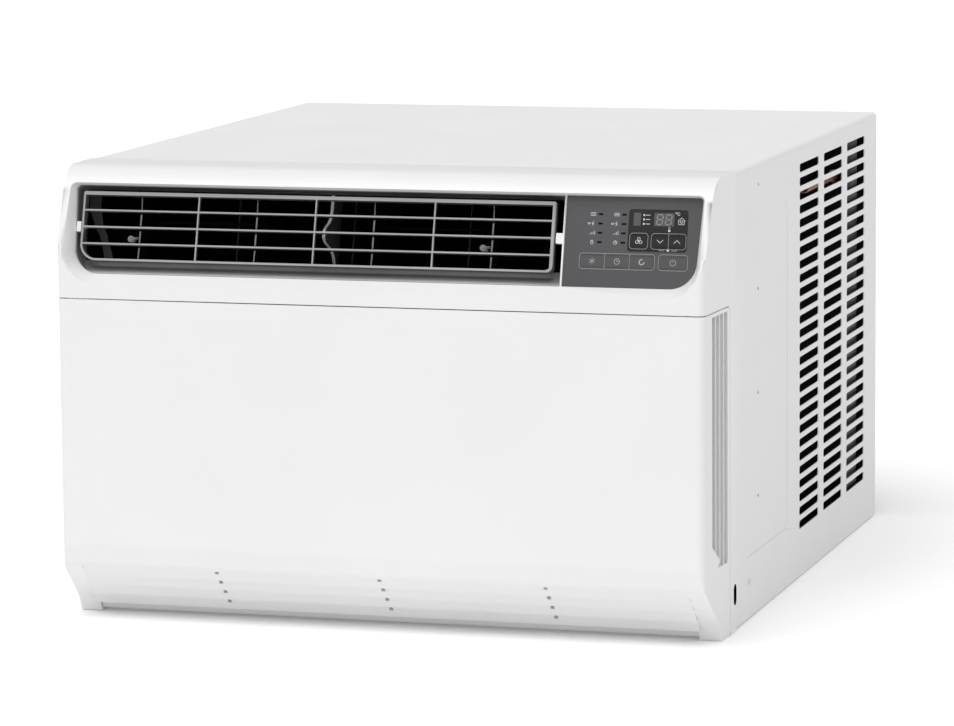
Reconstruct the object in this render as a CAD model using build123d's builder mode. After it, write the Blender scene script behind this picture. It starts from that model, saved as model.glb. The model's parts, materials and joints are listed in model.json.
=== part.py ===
"""Window air conditioner: a slide-out chassis in a louvred steel cabinet, millimetres.

X runs to the right seen from the room, Y runs outdoors, Z is up.
The origin is the centre of the footprint, on the surface that the cabinet stands on.
"""
from math import atan, cos, degrees, pi, radians, sin, tan
import os
from build123d import *

os.makedirs("parts", exist_ok=True)

# overall sizes
width = 660.0
height = 448.0
nose = 112.0          # the plastic front stands this far ahead of the cabinet
cabinet_depth = 664.0
depth = nose + cabinet_depth
edge = -depth / 2 + nose          # front edge of the steel cabinet
front = edge - nose               # foremost plane
rear = edge + cabinet_depth

# sheet, mouldings and clearances
sheet = 1.0           # painted steel
wall = 2.5            # moulded plastic
duct_wall = 2.0
seam = 1.0            # visible gap between two mouldings
slip = 1.0            # chassis to cabinet, each side
fit = 0.3             # plastic to plastic, each side
pin_play = 0.08       # radial play of a pin in its bore

# the front moulding
band = 26.0           # plain band of the front frame ahead of the cabinet
seam_z = height - 126.5           # seam between bezel and intake panel
side_draft = 3.0      # degrees that the sides close towards the room
corner_r = 8.0
lean = 23.0           # degrees that the upper face leans back
brow_z = height - 85.5            # where the leaning face starts
top_r = 38.0
foot_back = 54.5      # front of the feet, measured from the cabinet
foot_width = 22.0
crease_z = 77.0
tuck, tuck_z = 3.4, 56.5      # below the crease the face leans inwards this far, down to here

# the one opening in the bezel
tilt = 15.5           # degrees that the opening's plane leans back
rim_z = height - 103.0
rim_back = 98.3       # rim's lower edge ahead of the cabinet
mouth_low = width / 2 - 17.5      # half widths
mouth_high = mouth_low + 4.0
mouth_h = 88.0
mouth_r = 26.0        # lower corners
strip_u = width / 2 - 148.1       # white strip between outlet and control panel
strip_w = 1.8
duct_deep = 62.0


def level(z):
    return Plane.XY.offset(z)


def facing(y):
    """Upright plane seen from the room, drawn in x and z, its normal towards the room."""
    return Plane.XZ.offset(-y)


def across(x):
    """Upright plane seen from the right, drawn in y and z."""
    return Plane.YZ.offset(x)


rise = radians(tilt)
rim = Plane(origin=(0, edge - rim_back, rim_z), x_dir=(1, 0, 0), z_dir=(0, -cos(rise), sin(rise)))


def save(part, name):
    part.label = name
    export_step(part, f"parts/{name}.step")


def block(x0, x1, y0, y1, z0, z1):
    """A plain box between two corners, for cuts and simple plates."""
    middle = ((x0 + x1) / 2, (y0 + y1) / 2, (z0 + z1) / 2)
    return Pos(*middle) * Box(abs(x1 - x0), abs(y1 - y0), abs(z1 - z0), mode=Mode.PRIVATE)


def rod(x, y, z, radius, length, turn=(0, 0, 0)):
    """A round rod about its own middle, along Z unless turned."""
    return Pos(x, y, z) * Rot(*turn) * Cylinder(radius, length, mode=Mode.PRIVATE)


along_x, along_y = (0, 90, 0), (90, 0, 0)


def rim_block(u0, u1, v0, v1, w0, w1):
    """The same in the opening's own plane: u across, v up along it, w out of it."""
    middle = ((u0 + u1) / 2, (v0 + v1) / 2, (w0 + w1) / 2)
    return rim.location * Pos(*middle) * Box(u1 - u0, v1 - v0, w1 - w0, mode=Mode.PRIVATE)


# ---------------------------------------------------------------- cabinet
lip = 12.0
louvre_w, louvre_h = 91.0, 8.8
louvre_pitch_y, louvre_pitch_z = 115.5, 14.15
louvre_rows = int((height - 65) / louvre_pitch_z)
louvre_y = edge + 440.5
louvre_z = height / 2 + 15.6
curtain_y = edge + 94.5           # upright row of fixing holes in each side
curtain_z = height / 2 + 48.0
curtain_pitch = 102.8
curtain_r = 2.2
lock_y, lock_z = edge + 53.5, 38.6   # screw that locks the chassis in
emboss_y0, emboss_y1 = edge + 29.0, edge + 224.0
emboss_z0, emboss_z1 = 63.5, height - 51.0
emboss_deep = 0.4
inner_x = width / 2 - sheet

with BuildPart() as cabinet:
    with BuildSketch(facing(edge)):
        RectangleRounded(width, height, 5, align=(Align.CENTER, Align.MIN))
    extrude(amount=-cabinet_depth)
    with BuildSketch(facing(edge)):
        with Locations((0, height / 2)):
            RectangleRounded(2 * inner_x, height - 2 * sheet, 4)
    extrude(amount=-(cabinet_depth - sheet), mode=Mode.SUBTRACT)
    with BuildSketch(facing(rear - sheet)):
        with Locations((0, height / 2)):
            RectangleRounded(width - 2 * lip, height - 2 * lip, 6)
    extrude(amount=-sheet, mode=Mode.SUBTRACT)
    with BuildSketch(across(0)):
        with Locations((louvre_y, louvre_z)):
            with GridLocations(louvre_pitch_y, louvre_pitch_z, 3, louvre_rows):
                RectangleRounded(louvre_w, louvre_h, 3.2)
        with Locations((curtain_y, curtain_z)):
            with GridLocations(0, curtain_pitch, 1, 4):
                Circle(curtain_r)
        with Locations((lock_y, lock_z)):
            Circle(2.6)
    extrude(amount=width, both=True, mode=Mode.SUBTRACT)
    for side in (-1, 1):
        with BuildSketch(across(side * width / 2)):
            with Locations(((emboss_y0 + emboss_y1) / 2, (emboss_z0 + emboss_z1) / 2)):
                RectangleRounded(emboss_y1 - emboss_y0, emboss_z1 - emboss_z0, 14)
        extrude(amount=-side * emboss_deep, mode=Mode.SUBTRACT)
save(cabinet.part, "cabinet")

rail_h = 3.0
rail_x = width / 2 - 44.0
rail_w = 26.0
with BuildPart() as slide_rails:
    for side in (-1, 1):
        with BuildSketch(level(sheet)):
            with Locations((side * rail_x, (edge + rear) / 2)):
                Rectangle(rail_w, cabinet_depth - 60)
        extrude(amount=rail_h)
save(slide_rails.part, "slide_rails")

with BuildPart() as lock_screws:
    for side in (-1, 1):
        head = Plane(origin=(side * width / 2, lock_y, lock_z), z_dir=(side, 0, 0))
        with BuildSketch(head):
            Circle(3.0)
        extrude(amount=0.8)
        with BuildSketch(head):
            Circle(2.5)
        extrude(amount=-(sheet + slip * 0.6))
save(lock_screws.part, "lock_screws")


# ---------------------------------------------------------------- front mouldings
def nearest(sketch, x, y):
    """The sketch's corner nearest to a point of its own plane."""
    return sketch.vertices().sort_by_distance((x, y, 0))[0]


def front_plan(back):
    """Outline of the front seen from above, its sides closing towards the room."""
    half = width / 2
    nip = (nose - band) * tan(radians(side_draft))
    with BuildSketch(level(0)) as plan:
        with BuildLine():
            Polyline(
                (-half, edge + back), (-half, edge - band), (-half + nip, front),
                (half - nip, front), (half, edge - band), (half, edge + back), close=True)
        make_face()
        for side in (-1, 1):
            fillet(nearest(plan, side * (half - nip), front), corner_r)
    return plan.sketch


def front_side(back):
    """Outline of the front seen from the side: feet, flat face, leaning brow and rounded top."""
    brow_y = front + (height - brow_z) * tan(radians(lean))
    with BuildSketch(across(0)) as side:
        with BuildLine():
            Polyline(
                (edge + back, 0), (edge - foot_back, 0), (edge - foot_back - 7, 15),
                (front + tuck, tuck_z), (front, crease_z), (front, brow_z), (brow_y, height),
                (edge + back, height), close=True)
        make_face()
        fillet(nearest(side, front, brow_z), 60)
        fillet(nearest(side, brow_y, height), top_r)
        fillet(nearest(side, front, crease_z), 22)
        fillet(nearest(side, front + tuck, tuck_z), 12)
        fillet(nearest(side, edge - foot_back - 7, 15), 20)
        fillet(nearest(side, edge - foot_back, 0), 4)
    return side.sketch


def front_form(inset):
    """The whole front as one solid, smaller all round by the inset and longer at the back."""
    back = 0 if inset == 0 else 40
    plan, side = front_plan(back), front_side(back)
    if inset:
        plan, side = offset(plan, -inset), offset(side, -inset)
    tall = extrude(plan, amount=height + 10)
    wide = extrude(side, amount=width, both=True)
    return tall & wide


outer_form = front_form(0)
inner_form = front_form(wall)
shell = outer_form - inner_form

with BuildPart() as panel_region:
    with BuildSketch(across(0)) as region:
        with Locations((edge - band - seam / 2, seam_z - seam / 2)):
            Rectangle(nose, height, align=(Align.MAX, Align.MAX))
        fillet(nearest(region, edge - band, seam_z), 7)
    extrude(amount=width, both=True)


frame_cut = extrude(offset(region.sketch, seam), amount=width, both=True)


def mouth(grow, w):
    """The opening's outline, grown all round, on a plane w out of the rim."""
    low, high = mouth_low + grow, mouth_high + grow
    with BuildSketch(rim.offset(w)) as outline:
        with BuildLine():
            Polyline(
                (-low, -grow), (low, -grow), (high, mouth_h + grow), (-high, mouth_h + grow),
                close=True)
        make_face()
        for side in (-1, 1):
            fillet(nearest(outline, side * low, -grow), mouth_r + grow)
            fillet(nearest(outline, side * high, mouth_h + grow), 4 + grow)
    return outline.sketch


def scoop(grow):
    """Funnel round the opening: shallow at the top, broad below, from the rim outwards."""
    reach = 24.0
    low, high = mouth_low + 9 + grow, mouth_high + 9 + grow
    with BuildSketch(rim.offset(reach)) as outer:
        with BuildLine():
            Polyline(
                (-low, -27 - grow), (low, -27 - grow), (high, mouth_h + 3 + grow),
                (-high, mouth_h + 3 + grow), close=True)
        make_face()
        for side in (-1, 1):
            fillet(nearest(outer, side * low, -27 - grow), mouth_r + 20)
            fillet(nearest(outer, side * high, mouth_h + 3 + grow), 8)
    return loft([mouth(grow, 0), outer.sketch])


collar_deep = 4.0
collar = (scoop(wall) + extrude(mouth(wall, 0), amount=-collar_deep)) & outer_form
tunnel = extrude(mouth(0, 0), amount=-collar_deep - 10) + scoop(0)

plate_y = edge - band + 3.5        # filter plate behind the seam
panel_back = 3.5                   # control panel's back face, behind the rim
panel_sink = 1.0                   # its front face, behind the rim
filter_x = width / 2 - 58.0
filter_z0, filter_z1 = 44.0, seam_z - 15.5
cord_slot_y = edge - 6.0
cord_slot_z = 37.0
cord_slot_w, cord_slot_h = 11.5, 21.0
foot_x = width / 2 - foot_width
hinge_y, hinge_z = edge - 50.0, 9.0
hinge_pin_r = 2.0
arm_x0, arm_x1 = foot_x + 3, foot_x + 6.5
arm_half = 3.6
screw_x = width / 2 - 34.0
swing_gap = 2.1                   # lets the panel's lower corners pass the frame as it tips

with BuildPart() as front_frame:
    add(shell - frame_cut)
    add(collar)
    add(block(-inner_x + wall, inner_x - wall, front + 6, edge - band + 1, seam_z + seam / 2,
              seam_z + seam / 2 + wall) & outer_form)
    add(block(-inner_x + 1, inner_x - 1, plate_y, plate_y + wall, 1, seam_z + 3) & outer_form)
    add(tunnel, mode=Mode.SUBTRACT)
    add(block(-filter_x, filter_x, plate_y - 1, plate_y + 5, filter_z0, filter_z1),
        mode=Mode.SUBTRACT)
    add(rim_block(strip_u - strip_w / 2, strip_u + strip_w / 2, -1, mouth_h + 1, -collar_deep, 0))
    # tabs that the control panel rests on
    for u in (strip_u + 23.1, strip_u + 88.1):
        add(rim_block(u, u + 14, -wall, 4, -panel_back - 2.5, -panel_back))
        add(rim_block(u, u + 14, mouth_h - 4, mouth_h + wall, -panel_back - 2.5, -panel_back))
    # lip under the slats, and the arms that carry the intake panel's trunnions
    add(block(-foot_x + 2, foot_x - 2, edge - band, plate_y + 1, 0, 6))
    for side in (-1, 1):
        add(block(side * arm_x0, side * arm_x1, hinge_y - arm_half, plate_y + 1,
                  hinge_z - arm_half, hinge_z + arm_half))
        add(rod(side * (arm_x0 + arm_x1) / 2, hinge_y, hinge_z, hinge_pin_r, 12, along_x),
            mode=Mode.SUBTRACT)
    # outlet for the supply lead, in the right-hand side of the band
    with BuildSketch(across(width / 2 + 1)):
        with Locations((cord_slot_y, cord_slot_z)):
            SlotOverall(cord_slot_h, cord_slot_w, rotation=90)
    extrude(amount=-8, mode=Mode.SUBTRACT)
    # sleeve that enters the cabinet
    sleeve_x, sleeve_z = inner_x - slip / 2, height - 2 * sheet - slip
    with BuildSketch(facing(edge)):
        with Locations((0, height / 2)):
            RectangleRounded(2 * sleeve_x, sleeve_z, 3.5)
            RectangleRounded(2 * (sleeve_x - 1.5), sleeve_z - 3, 3, mode=Mode.SUBTRACT)
    extrude(amount=-14)
    for side in (-1, 1):
        for z in (30.0, height - 150):
            add(rod(side * screw_x, plate_y + wall / 2, z, 2.1, 8, along_y), mode=Mode.SUBTRACT)
save(front_frame.part, "front_frame")

with BuildPart() as frame_screws:
    for side in (-1, 1):
        for z in (30.0, height - 150):
            with BuildSketch(facing(plate_y)):
                with Locations((side * screw_x, z)):
                    Circle(4.5)
            extrude(amount=2.2)
            with BuildSketch(facing(plate_y)):
                with Locations((side * screw_x, z)):
                    Circle(2.0)
            extrude(amount=-12)
save(frame_screws.part, "frame_screws")

# intake panel: flat face, side inlets, and a slatted slope between two feet
inlet_first, inlet_w, inlet_rib, inlet_count = -86.0, 11.3, 2.0, 4
inlet_slots = [(inlet_first + k * (inlet_w + inlet_rib),
                inlet_first + k * (inlet_w + inlet_rib) + inlet_w) for k in range(inlet_count)]
inlet_deep = 7.0                  # how far the ribs between the inlets reach inwards
inlet_z0, inlet_z1 = 74.0, seam_z - 4.0
slat_count, slat_step_y, slat_step_z = 4, 12.3, 11.7
slat_long, slat_slope, slat_t = 15.7, 56.7, 2.0
slat_y0, slat_z0 = front + 4.4, 58.6
skirt_z = 55.5                    # where the panel's skin ends above the slats
rib_x = width / 4 + 2.0


def slat(step):
    """One blade of the sloping grille, falling towards the cabinet."""
    y, z = slat_y0 + step * slat_step_y, slat_z0 - step * slat_step_z
    blade = block(-foot_x - 0.5, foot_x + 0.5, 0, slat_long, 0, slat_t)
    return Pos(0, y, z) * Rot(-slat_slope, 0, 0) * blade


skin = shell & panel_region.part
slope_cut = block(-foot_x, foot_x, front - 1, edge, -1, skirt_z)
skin = skin - slope_cut
foot_box = block(foot_x - wall / 2, foot_x + wall / 2, front - 1, edge - band - seam / 2, -1,
                 crease_z) & outer_form
ribs = [block(x - 1, x + 1, front + 8, edge - band - 5, 6, crease_z) & outer_form
        for x in (-rib_x, 0, rib_x)]
grille_slope = degrees(atan(slat_step_z / slat_step_y))
rib_slope = Pos(0, slat_y0, slat_z0) * Rot(-grille_slope, 0, 0) * block(
    -width / 2, width / 2, -40, 120, -60, 0)
inlet_floor = Pos(0, front, inlet_z0 + 40) * Rot(-33, 0, 0) * block(
    -width, width, -30, 60, -60, 0)

with BuildPart() as intake_panel:
    add(skin)
    for side in (-1, 1):
        add(mirror(foot_box, Plane.YZ) if side < 0 else foot_box)
    for step in range(slat_count):
        add(slat(step))
    for rib in ribs:
        add(rib - rib_slope)
    # bottom rail of the grille, level flange behind it
    rail_y, rail_z = slat_y0 + slat_count * slat_step_y, slat_z0 - slat_count * slat_step_z
    rail = block(-foot_x - 0.5, foot_x + 0.5, 3.5, 11.5, 0, slat_t)
    add(Pos(0, rail_y, rail_z) * Rot(-slat_slope + 8, 0, 0) * rail)
    add(block(-foot_x - 0.5, foot_x + 0.5, rail_y + 8.3, edge - band - 5, 3.0, 5.0))
    # side inlets, their lower ends following the foot's curve
    for y0, y1 in inlet_slots:
        slot_cut = block(-width, width, edge + y0, edge + y1, inlet_z0, inlet_z1)
        for side in (-1, 1):
            keep = block(side * (foot_x + 2), side * width, front, edge, 0, height)
            add((slot_cut & keep) - inlet_floor, mode=Mode.SUBTRACT)
    # deep ribs between the inlets, and a wall behind the last one
    for y0, y1 in inlet_slots:
        for side in (-1, 1):
            add(block(side * (width / 2 - inlet_deep), side * width / 2, edge + y1,
                      edge + y1 + inlet_rib, inlet_z0 - 2, inlet_z1 + 2) & outer_form)
    # trunnion bosses inside the feet
    for side in (-1, 1):
        add(rod(side * foot_x, hinge_y, hinge_z, 4.5, wall, along_x))
        add(rod(side * foot_x, hinge_y, hinge_z, hinge_pin_r + pin_play, 10, along_x),
            mode=Mode.SUBTRACT)
        add(block(side * (arm_x0 - 1), side * (arm_x1 + 1), hinge_y - 2, edge - band, -1,
                  wall + 1), mode=Mode.SUBTRACT)
    # relief so that the lower rear corners swing clear of the front frame
    add(block(-width, width, edge - band - swing_gap, edge, -1, hinge_z - 4), mode=Mode.SUBTRACT)
save(intake_panel.part, "intake_panel")

with BuildPart() as hinge_pins:
    pin_x0, pin_x1 = foot_x - wall / 2 - 1, arm_x1
    for side in (-1, 1):
        add(rod(side * (pin_x0 + pin_x1) / 2, hinge_y, hinge_z, hinge_pin_r, pin_x1 - pin_x0,
                along_x))
save(hinge_pins.part, "hinge_pins")

# air filter in front of its plate
filter_edge = 8.0
filter_t = 6.0
filter_y = plate_y - filter_t
mesh_t = 0.6
filter_cell_x, filter_cell_z = 2 * filter_x / 4, (filter_z1 - filter_z0) / 3
mesh_slab = block(-filter_x - 2, filter_x + 2, filter_y + 2, filter_y + 2 + mesh_t,
                  filter_z0 - 2, filter_z1 + 2)

with BuildPart() as filter_frame:
    with BuildSketch(facing(filter_y)):
        with Locations((0, (filter_z0 + filter_z1) / 2)):
            Rectangle(2 * (filter_x + filter_edge), filter_z1 - filter_z0 + 2 * filter_edge)
            with GridLocations(filter_cell_x, filter_cell_z, 4, 3):
                Rectangle(filter_cell_x - 4, filter_cell_z - 4, mode=Mode.SUBTRACT)
    extrude(amount=-filter_t)
    add(mesh_slab, mode=Mode.SUBTRACT)
save(filter_frame.part, "filter_frame")

with BuildPart() as filter_mesh:
    add(mesh_slab)
save(filter_mesh.part, "filter_mesh")


# ---------------------------------------------------------------- outlet: duct, grid, vanes
def rim_rod(u, v, w, radius, length, turn=(0, 0, 0)):
    """A round rod in the opening's plane, standing out of it unless turned."""
    return rim.location * Pos(u, v, w) * Rot(*turn) * Cylinder(radius, length, mode=Mode.PRIVATE)


def rim_plate(u0, u1, v0, v1, corner, w0, w1):
    """A plate with round corners in the opening's plane."""
    with BuildSketch(rim.offset(w0)) as face:
        with Locations(((u0 + u1) / 2, (v0 + v1) / 2)):
            RectangleRounded(u1 - u0, v1 - v0, corner)
    return extrude(face.sketch, amount=w1 - w0, mode=Mode.PRIVATE)


up_rim = (90, 0, 0)

grid_left, grid_right = -mouth_low + 3.9, strip_u - 9.5
grid_low, grid_high = 13.2, 81.6
grid_rows = (30.0, 46.5, 63.0)
grid_front, grid_back = -1.0, -11.0
bays = 4
bay = (grid_right - grid_left) / bays
pivot_v, pivot_w = grid_rows[1], -6.0
grid_pin_r = 1.8
vane_w0, vane_w1 = -58.0, -28.0
vane_pivot_w = (vane_w0 + vane_w1) / 2
vane_t = 1.6
vane_v0, vane_v1 = 1.5, mouth_h - 1.5
vane_pin_r = 1.8
vane_shift = 8.8      # the vanes stand this far to the left of the bays' middles
vane_us = [grid_left + (k + 0.5) * bay - vane_shift for k in range(bays)]
link_v, link_w = 60.0, -54.0
link_t, link_eye_r = 2.0, 3.0
link_pin_r = 1.2
post_u = grid_left + 2 * bay + 5.5
post_w, nose_w = -24.0, -13.5

duct_right = strip_u - strip_w / 2
duct_keep = rim_block(-width, duct_right + duct_wall, -50, 200, -duct_deep - 1, 0)
bore_keep = rim_block(-width, duct_right, -50, 200, -200, 1)
tube_outer = extrude(mouth(duct_wall, -collar_deep), amount=-(duct_deep - collar_deep)) & duct_keep
tube_inner = extrude(mouth(0, 0), amount=-duct_deep - 30) & bore_keep
plenum_x0, plenum_x1 = -mouth_high - duct_wall, duct_right + duct_wall
plenum_y0, plenum_y1 = edge - 36, edge + 154
plenum_z0, plenum_z1 = height - 120.0, height - 12

# blower, motor and fan share one shaft
tall = height / 448               # the air movers grow with the cabinet
axis_x, axis_z = -68.0, 204.0 * tall
scroll_y0, scroll_y1 = edge + 60, plenum_y1
scroll_r0, scroll_r1 = 116.0 * tall, 150.0 * tall
cutoff = 65.0
throat_x0 = axis_x + scroll_r0 * cos(radians(cutoff))
throat_x1 = axis_x + scroll_r1

with BuildPart() as outlet_duct:
    add(block(plenum_x0, plenum_x1, plenum_y0, plenum_y1, plenum_z0, plenum_z1))
    add(block(plenum_x0 + duct_wall, plenum_x1 - duct_wall, plenum_y0 + duct_wall,
              plenum_y1 - duct_wall, plenum_z0 + duct_wall, plenum_z1 - duct_wall),
        mode=Mode.SUBTRACT)
    add(tube_outer)
    add(tube_inner, mode=Mode.SUBTRACT)
    add(block(throat_x0, throat_x1, scroll_y0 + duct_wall, scroll_y1 - duct_wall,
              plenum_z0 - 1, plenum_z0 + duct_wall + 1), mode=Mode.SUBTRACT)
    for u in vane_us:
        add(rim_rod(u, mouth_h / 2, vane_pivot_w, vane_pin_r + pin_play, mouth_h + 10, up_rim),
            mode=Mode.SUBTRACT)
save(outlet_duct.part, "outlet_duct")

# louvre grid: thin blades in one frame, on a pivot through the middle blade
row_centres = (grid_low + 1.0, *grid_rows, grid_high - 1.7)
row_halves = (1.0, 0.8, 0.8, 0.8, 1.7)
bar_deep = 3.5
grid_windows = []
for i in range(len(row_centres) - 1):
    v0, v1 = row_centres[i] + row_halves[i], row_centres[i + 1] - row_halves[i + 1]
    for k in range(bays):
        u0 = grid_left + k * bay + (2.0 if k == 0 else 0.7)
        u1 = grid_left + (k + 1) * bay - (3.2 if k == bays - 1 else 0.7)
        grid_windows.append(rim_block(u0, u1, v0, v1, grid_back - 1, grid_front + 1))
        if k:  # uprights stay shallow between the blades
            grid_windows.append(rim_block(u0 - 2, u0 + 1, v0, v1, grid_back - 1, grid_front - bar_deep))


def grid_sheet(shrink, low_left_r):
    """The grid's outline, its lower left corner following the opening's."""
    with BuildSketch(rim.offset(grid_back)) as outline:
        with BuildLine():
            Polyline((grid_left + shrink, grid_low + shrink), (grid_right - shrink, grid_low + shrink),
                     (grid_right - shrink, grid_high - shrink),
                     (grid_left + shrink, grid_high - shrink), close=True)
        make_face()
        fillet(nearest(outline, grid_left + shrink, grid_low + shrink), low_left_r)
        fillet(nearest(outline, grid_right - shrink, grid_low + shrink), 6)
        for u in (grid_left + shrink, grid_right - shrink):
            fillet(nearest(outline, u, grid_high - shrink), 2)
    return extrude(outline.sketch, amount=grid_front - grid_back)


grid_blank = grid_sheet(0, 17)
grid_inside = grid_sheet(2.0, 15)
with BuildPart() as louvre_grid:
    add(grid_blank)
    for window in grid_windows:
        add(window & grid_inside, mode=Mode.SUBTRACT)
    for u, length in ((grid_left, 8.0), (grid_right, 10.0)):
        add(rim_rod(u, pivot_v, pivot_w, grid_pin_r, length, along_x))
save(louvre_grid.part, "louvre_grid")

with BuildPart() as grid_bearings:
    for u0, u1 in ((-mouth_low - 1.6, grid_left - 1.0), (grid_right + 1.4, duct_right)):
        add(rim_plate(u0, u1, pivot_v - 5, pivot_v + 5, 0.8, pivot_w - 4, pivot_w + 4))
    for u in (grid_left, grid_right):
        add(rim_rod(u, pivot_v, pivot_w, grid_pin_r + pin_play, 24, along_x), mode=Mode.SUBTRACT)
save(grid_bearings.part, "grid_bearings")

with BuildPart() as centre_post:
    with BuildSketch(Plane(origin=(rim * Pos(post_u, 0, 0)).position, x_dir=rim.z_dir,
                           z_dir=(-1, 0, 0))):
        with BuildLine():
            Polyline((-duct_deep + 1, 0.2), (post_w - 32, 0.2), (post_w - 29, pivot_v - 24),
                     (post_w - 24, pivot_v - 17), (post_w - 14, pivot_v - 11), (nose_w - 5, pivot_v - 7),
                     (nose_w, pivot_v - 3), (nose_w, pivot_v + 3), (nose_w - 5, pivot_v + 8),
                     (post_w - 3, pivot_v + 13), (post_w - 8, pivot_v + 19), (post_w - 10, pivot_v + 27),
                     (post_w - 10, mouth_h - 0.2), (-duct_deep + 1, mouth_h - 0.2), close=True)
        make_face()
    extrude(amount=1.5, both=True)
save(centre_post.part, "centre_post")

# upright vanes, their ties and the two finger tabs
notch_v0, notch_v1 = link_v - 5, link_v + 5


def vane(k, tab):
    u = vane_us[k]
    with BuildPart() as blade:
        add(rim_block(u - vane_t / 2, u + vane_t / 2, vane_v0, vane_v1, vane_w0, vane_w1))
        add(rim_block(u - 2, u + 2, notch_v0, notch_v1, vane_w0 - 1, link_w + 4.5),
            mode=Mode.SUBTRACT)
        add(rim_rod(u, link_v, link_w, link_pin_r, notch_v1 - notch_v0 + 2, up_rim))
        add(rim_rod(u, notch_v0 - 2, link_w, link_pin_r + 0.8, 4, up_rim))
        add(rim_rod(u, notch_v1 + 2, link_w, link_pin_r + 0.8, 4, up_rim))
        for v in (vane_v0, vane_v1):
            add(rim_rod(u, v, vane_pivot_w, vane_pin_r, 6, up_rim))
        # clearance for the grid's blades, and a finger tab beside the end vanes
        for row in grid_rows:
            add(rim_block(u - 2, u + 2, row + 0.5, row + 5.5, vane_w1 - 2, vane_w1 + 1),
                mode=Mode.SUBTRACT)
        if tab:
            add(rim_block(u - 7, u, 39.0, 41.0, vane_w1 - 4, vane_w1 - 1))
            add(rim_rod(u - 7.5, 38.5, vane_w1 + 0.5, 3.2, 9))
    return blade.part


vanes = [vane(k, k in (0, bays - 1)) for k in range(bays)]
for k, blade in enumerate(vanes):
    save(blade, f"vane_{k + 1}")


def link(u0, u1):
    """Flat tie between two vanes' pins."""
    eyes = [rim_rod(u, link_v, link_w, link_eye_r, link_t, up_rim) for u in (u0, u1)]
    holes = [rim_rod(u, link_v, link_w, link_pin_r + pin_play, 10, up_rim) for u in (u0, u1)]
    bar = rim_block(u0, u1, link_v - link_t / 2, link_v + link_t / 2, link_w - 2, link_w + 2)
    return bar + eyes[0] + eyes[1] - holes[0] - holes[1]


save(link(vane_us[0], vane_us[1]), "link_left")
save(link(vane_us[2], vane_us[3]), "link_right")

# ---------------------------------------------------------------- control panel
key_gap = 0.35
key_stroke = 0.6
key_back = -5.0
panel_u = strip_u - 181.9         # the panel's own sizes are counted from the strip
row_u = (panel_u + 199.0, panel_u + 223.2, panel_u + 247.5, panel_u + 271.7)
keys = {
    "key_mode": (row_u[0], row_u[1], 19.5, 31.4),
    "key_timer": (row_u[1], row_u[2], 19.5, 31.4),
    "key_sleep": (row_u[2], row_u[3], 19.5, 31.4),
    "key_power": (panel_u + 276.3, panel_u + 303.8, 19.5, 31.4),
    "key_fan": (panel_u + 247.0, panel_u + 264.0, 39.6, 51.6),
    "key_cooler": (panel_u + 268.0, panel_u + 284.5, 39.6, 51.6),
    "key_warmer": (panel_u + 284.5, panel_u + 301.0, 39.6, 51.6),
}
window_box = (panel_u + 244.6, panel_u + 302.2, 35.6, 76.0)
window_front, window_back = -0.8, -2.8
lamp_us, lamp_vs = (panel_u + 217.0, panel_u + 240.0), (70.5, 61.5, 52.6, 43.6)
lamp_w, lamp_h = 4.4, 1.9
board_front, board_back = -9.4, -11.0
switch_h = 0.8
fascia_keep = rim_block(duct_right + strip_w + fit, width, -50, 200, -60, 10)
fascia_blank = extrude(mouth(-fit, -panel_back), amount=panel_back - panel_sink) & fascia_keep
boss_uv = ((panel_u + 194.0, 10.0), (panel_u + 194.0, 78.0), (panel_u + 308.0, 80.0),
           (panel_u + 298.0, 12.0))


def grown(box, gap):
    u0, u1, v0, v1 = box
    return u0 - gap, u1 + gap, v0 - gap, v1 + gap


with BuildPart() as control_panel:
    add(fascia_blank)
    add(rim_plate(*grown(window_box, 0.1), 3.1, -panel_back - 1, 0), mode=Mode.SUBTRACT)
    for name in ("key_mode", "key_timer", "key_sleep", "key_power"):
        add(rim_plate(*grown(keys[name], -0.1), 2.0, -panel_back - 1, 0), mode=Mode.SUBTRACT)
    for u in lamp_us:
        for v in lamp_vs:
            add(rim_block(u - lamp_w / 2, u + lamp_w / 2, v - lamp_h / 2, v + lamp_h / 2,
                          -panel_back - 1, 0), mode=Mode.SUBTRACT)
    for u, v in boss_uv:
        add(rim_rod(u, v, (board_front - panel_back) / 2, 3.0, -board_front - panel_back))
save(control_panel.part, "control_panel")

with BuildPart() as display_window:
    add(rim_plate(*window_box, 3.0, window_back, window_front))
    for name in ("key_fan", "key_cooler", "key_warmer"):
        add(rim_plate(*grown(keys[name], -0.1), 2.0, window_back - 1, 0), mode=Mode.SUBTRACT)
save(display_window.part, "display_window")

with BuildPart() as lamp_lenses:
    for u in lamp_us:
        for v in lamp_vs:
            add(rim_block(u - lamp_w / 2 + 0.05, u + lamp_w / 2 - 0.05, v - lamp_h / 2 + 0.05,
                          v + lamp_h / 2 - 0.05, -panel_back, -panel_sink))
save(lamp_lenses.part, "lamp_lenses")


def key_cap(box):
    """Cap with a retaining flange behind and a stem that meets its switch."""
    u0, u1, v0, v1 = grown(box, -key_gap)
    cap_front = -panel_sink + 0.1
    with BuildPart() as cap:
        add(rim_plate(u0, u1, v0, v1, 1.8, key_back, cap_front))
        add(rim_block(u0 + 2, u1 - 2, v0 - 1.2, v1 + 1.2, key_back, key_back + 0.8))
        stem_end = board_front + switch_h + key_stroke + 0.1
        add(rim_rod((u0 + u1) / 2, (v0 + v1) / 2, (key_back + stem_end) / 2, 1.5,
                    key_back - stem_end + 0.2))
    return cap.part


for name, box in keys.items():
    save(key_cap(box), name)

with BuildPart() as panel_board:
    add(rim_block(panel_u + 189, panel_u + 309, 5, 83, board_back, board_front))
save(panel_board.part, "panel_board")

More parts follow.
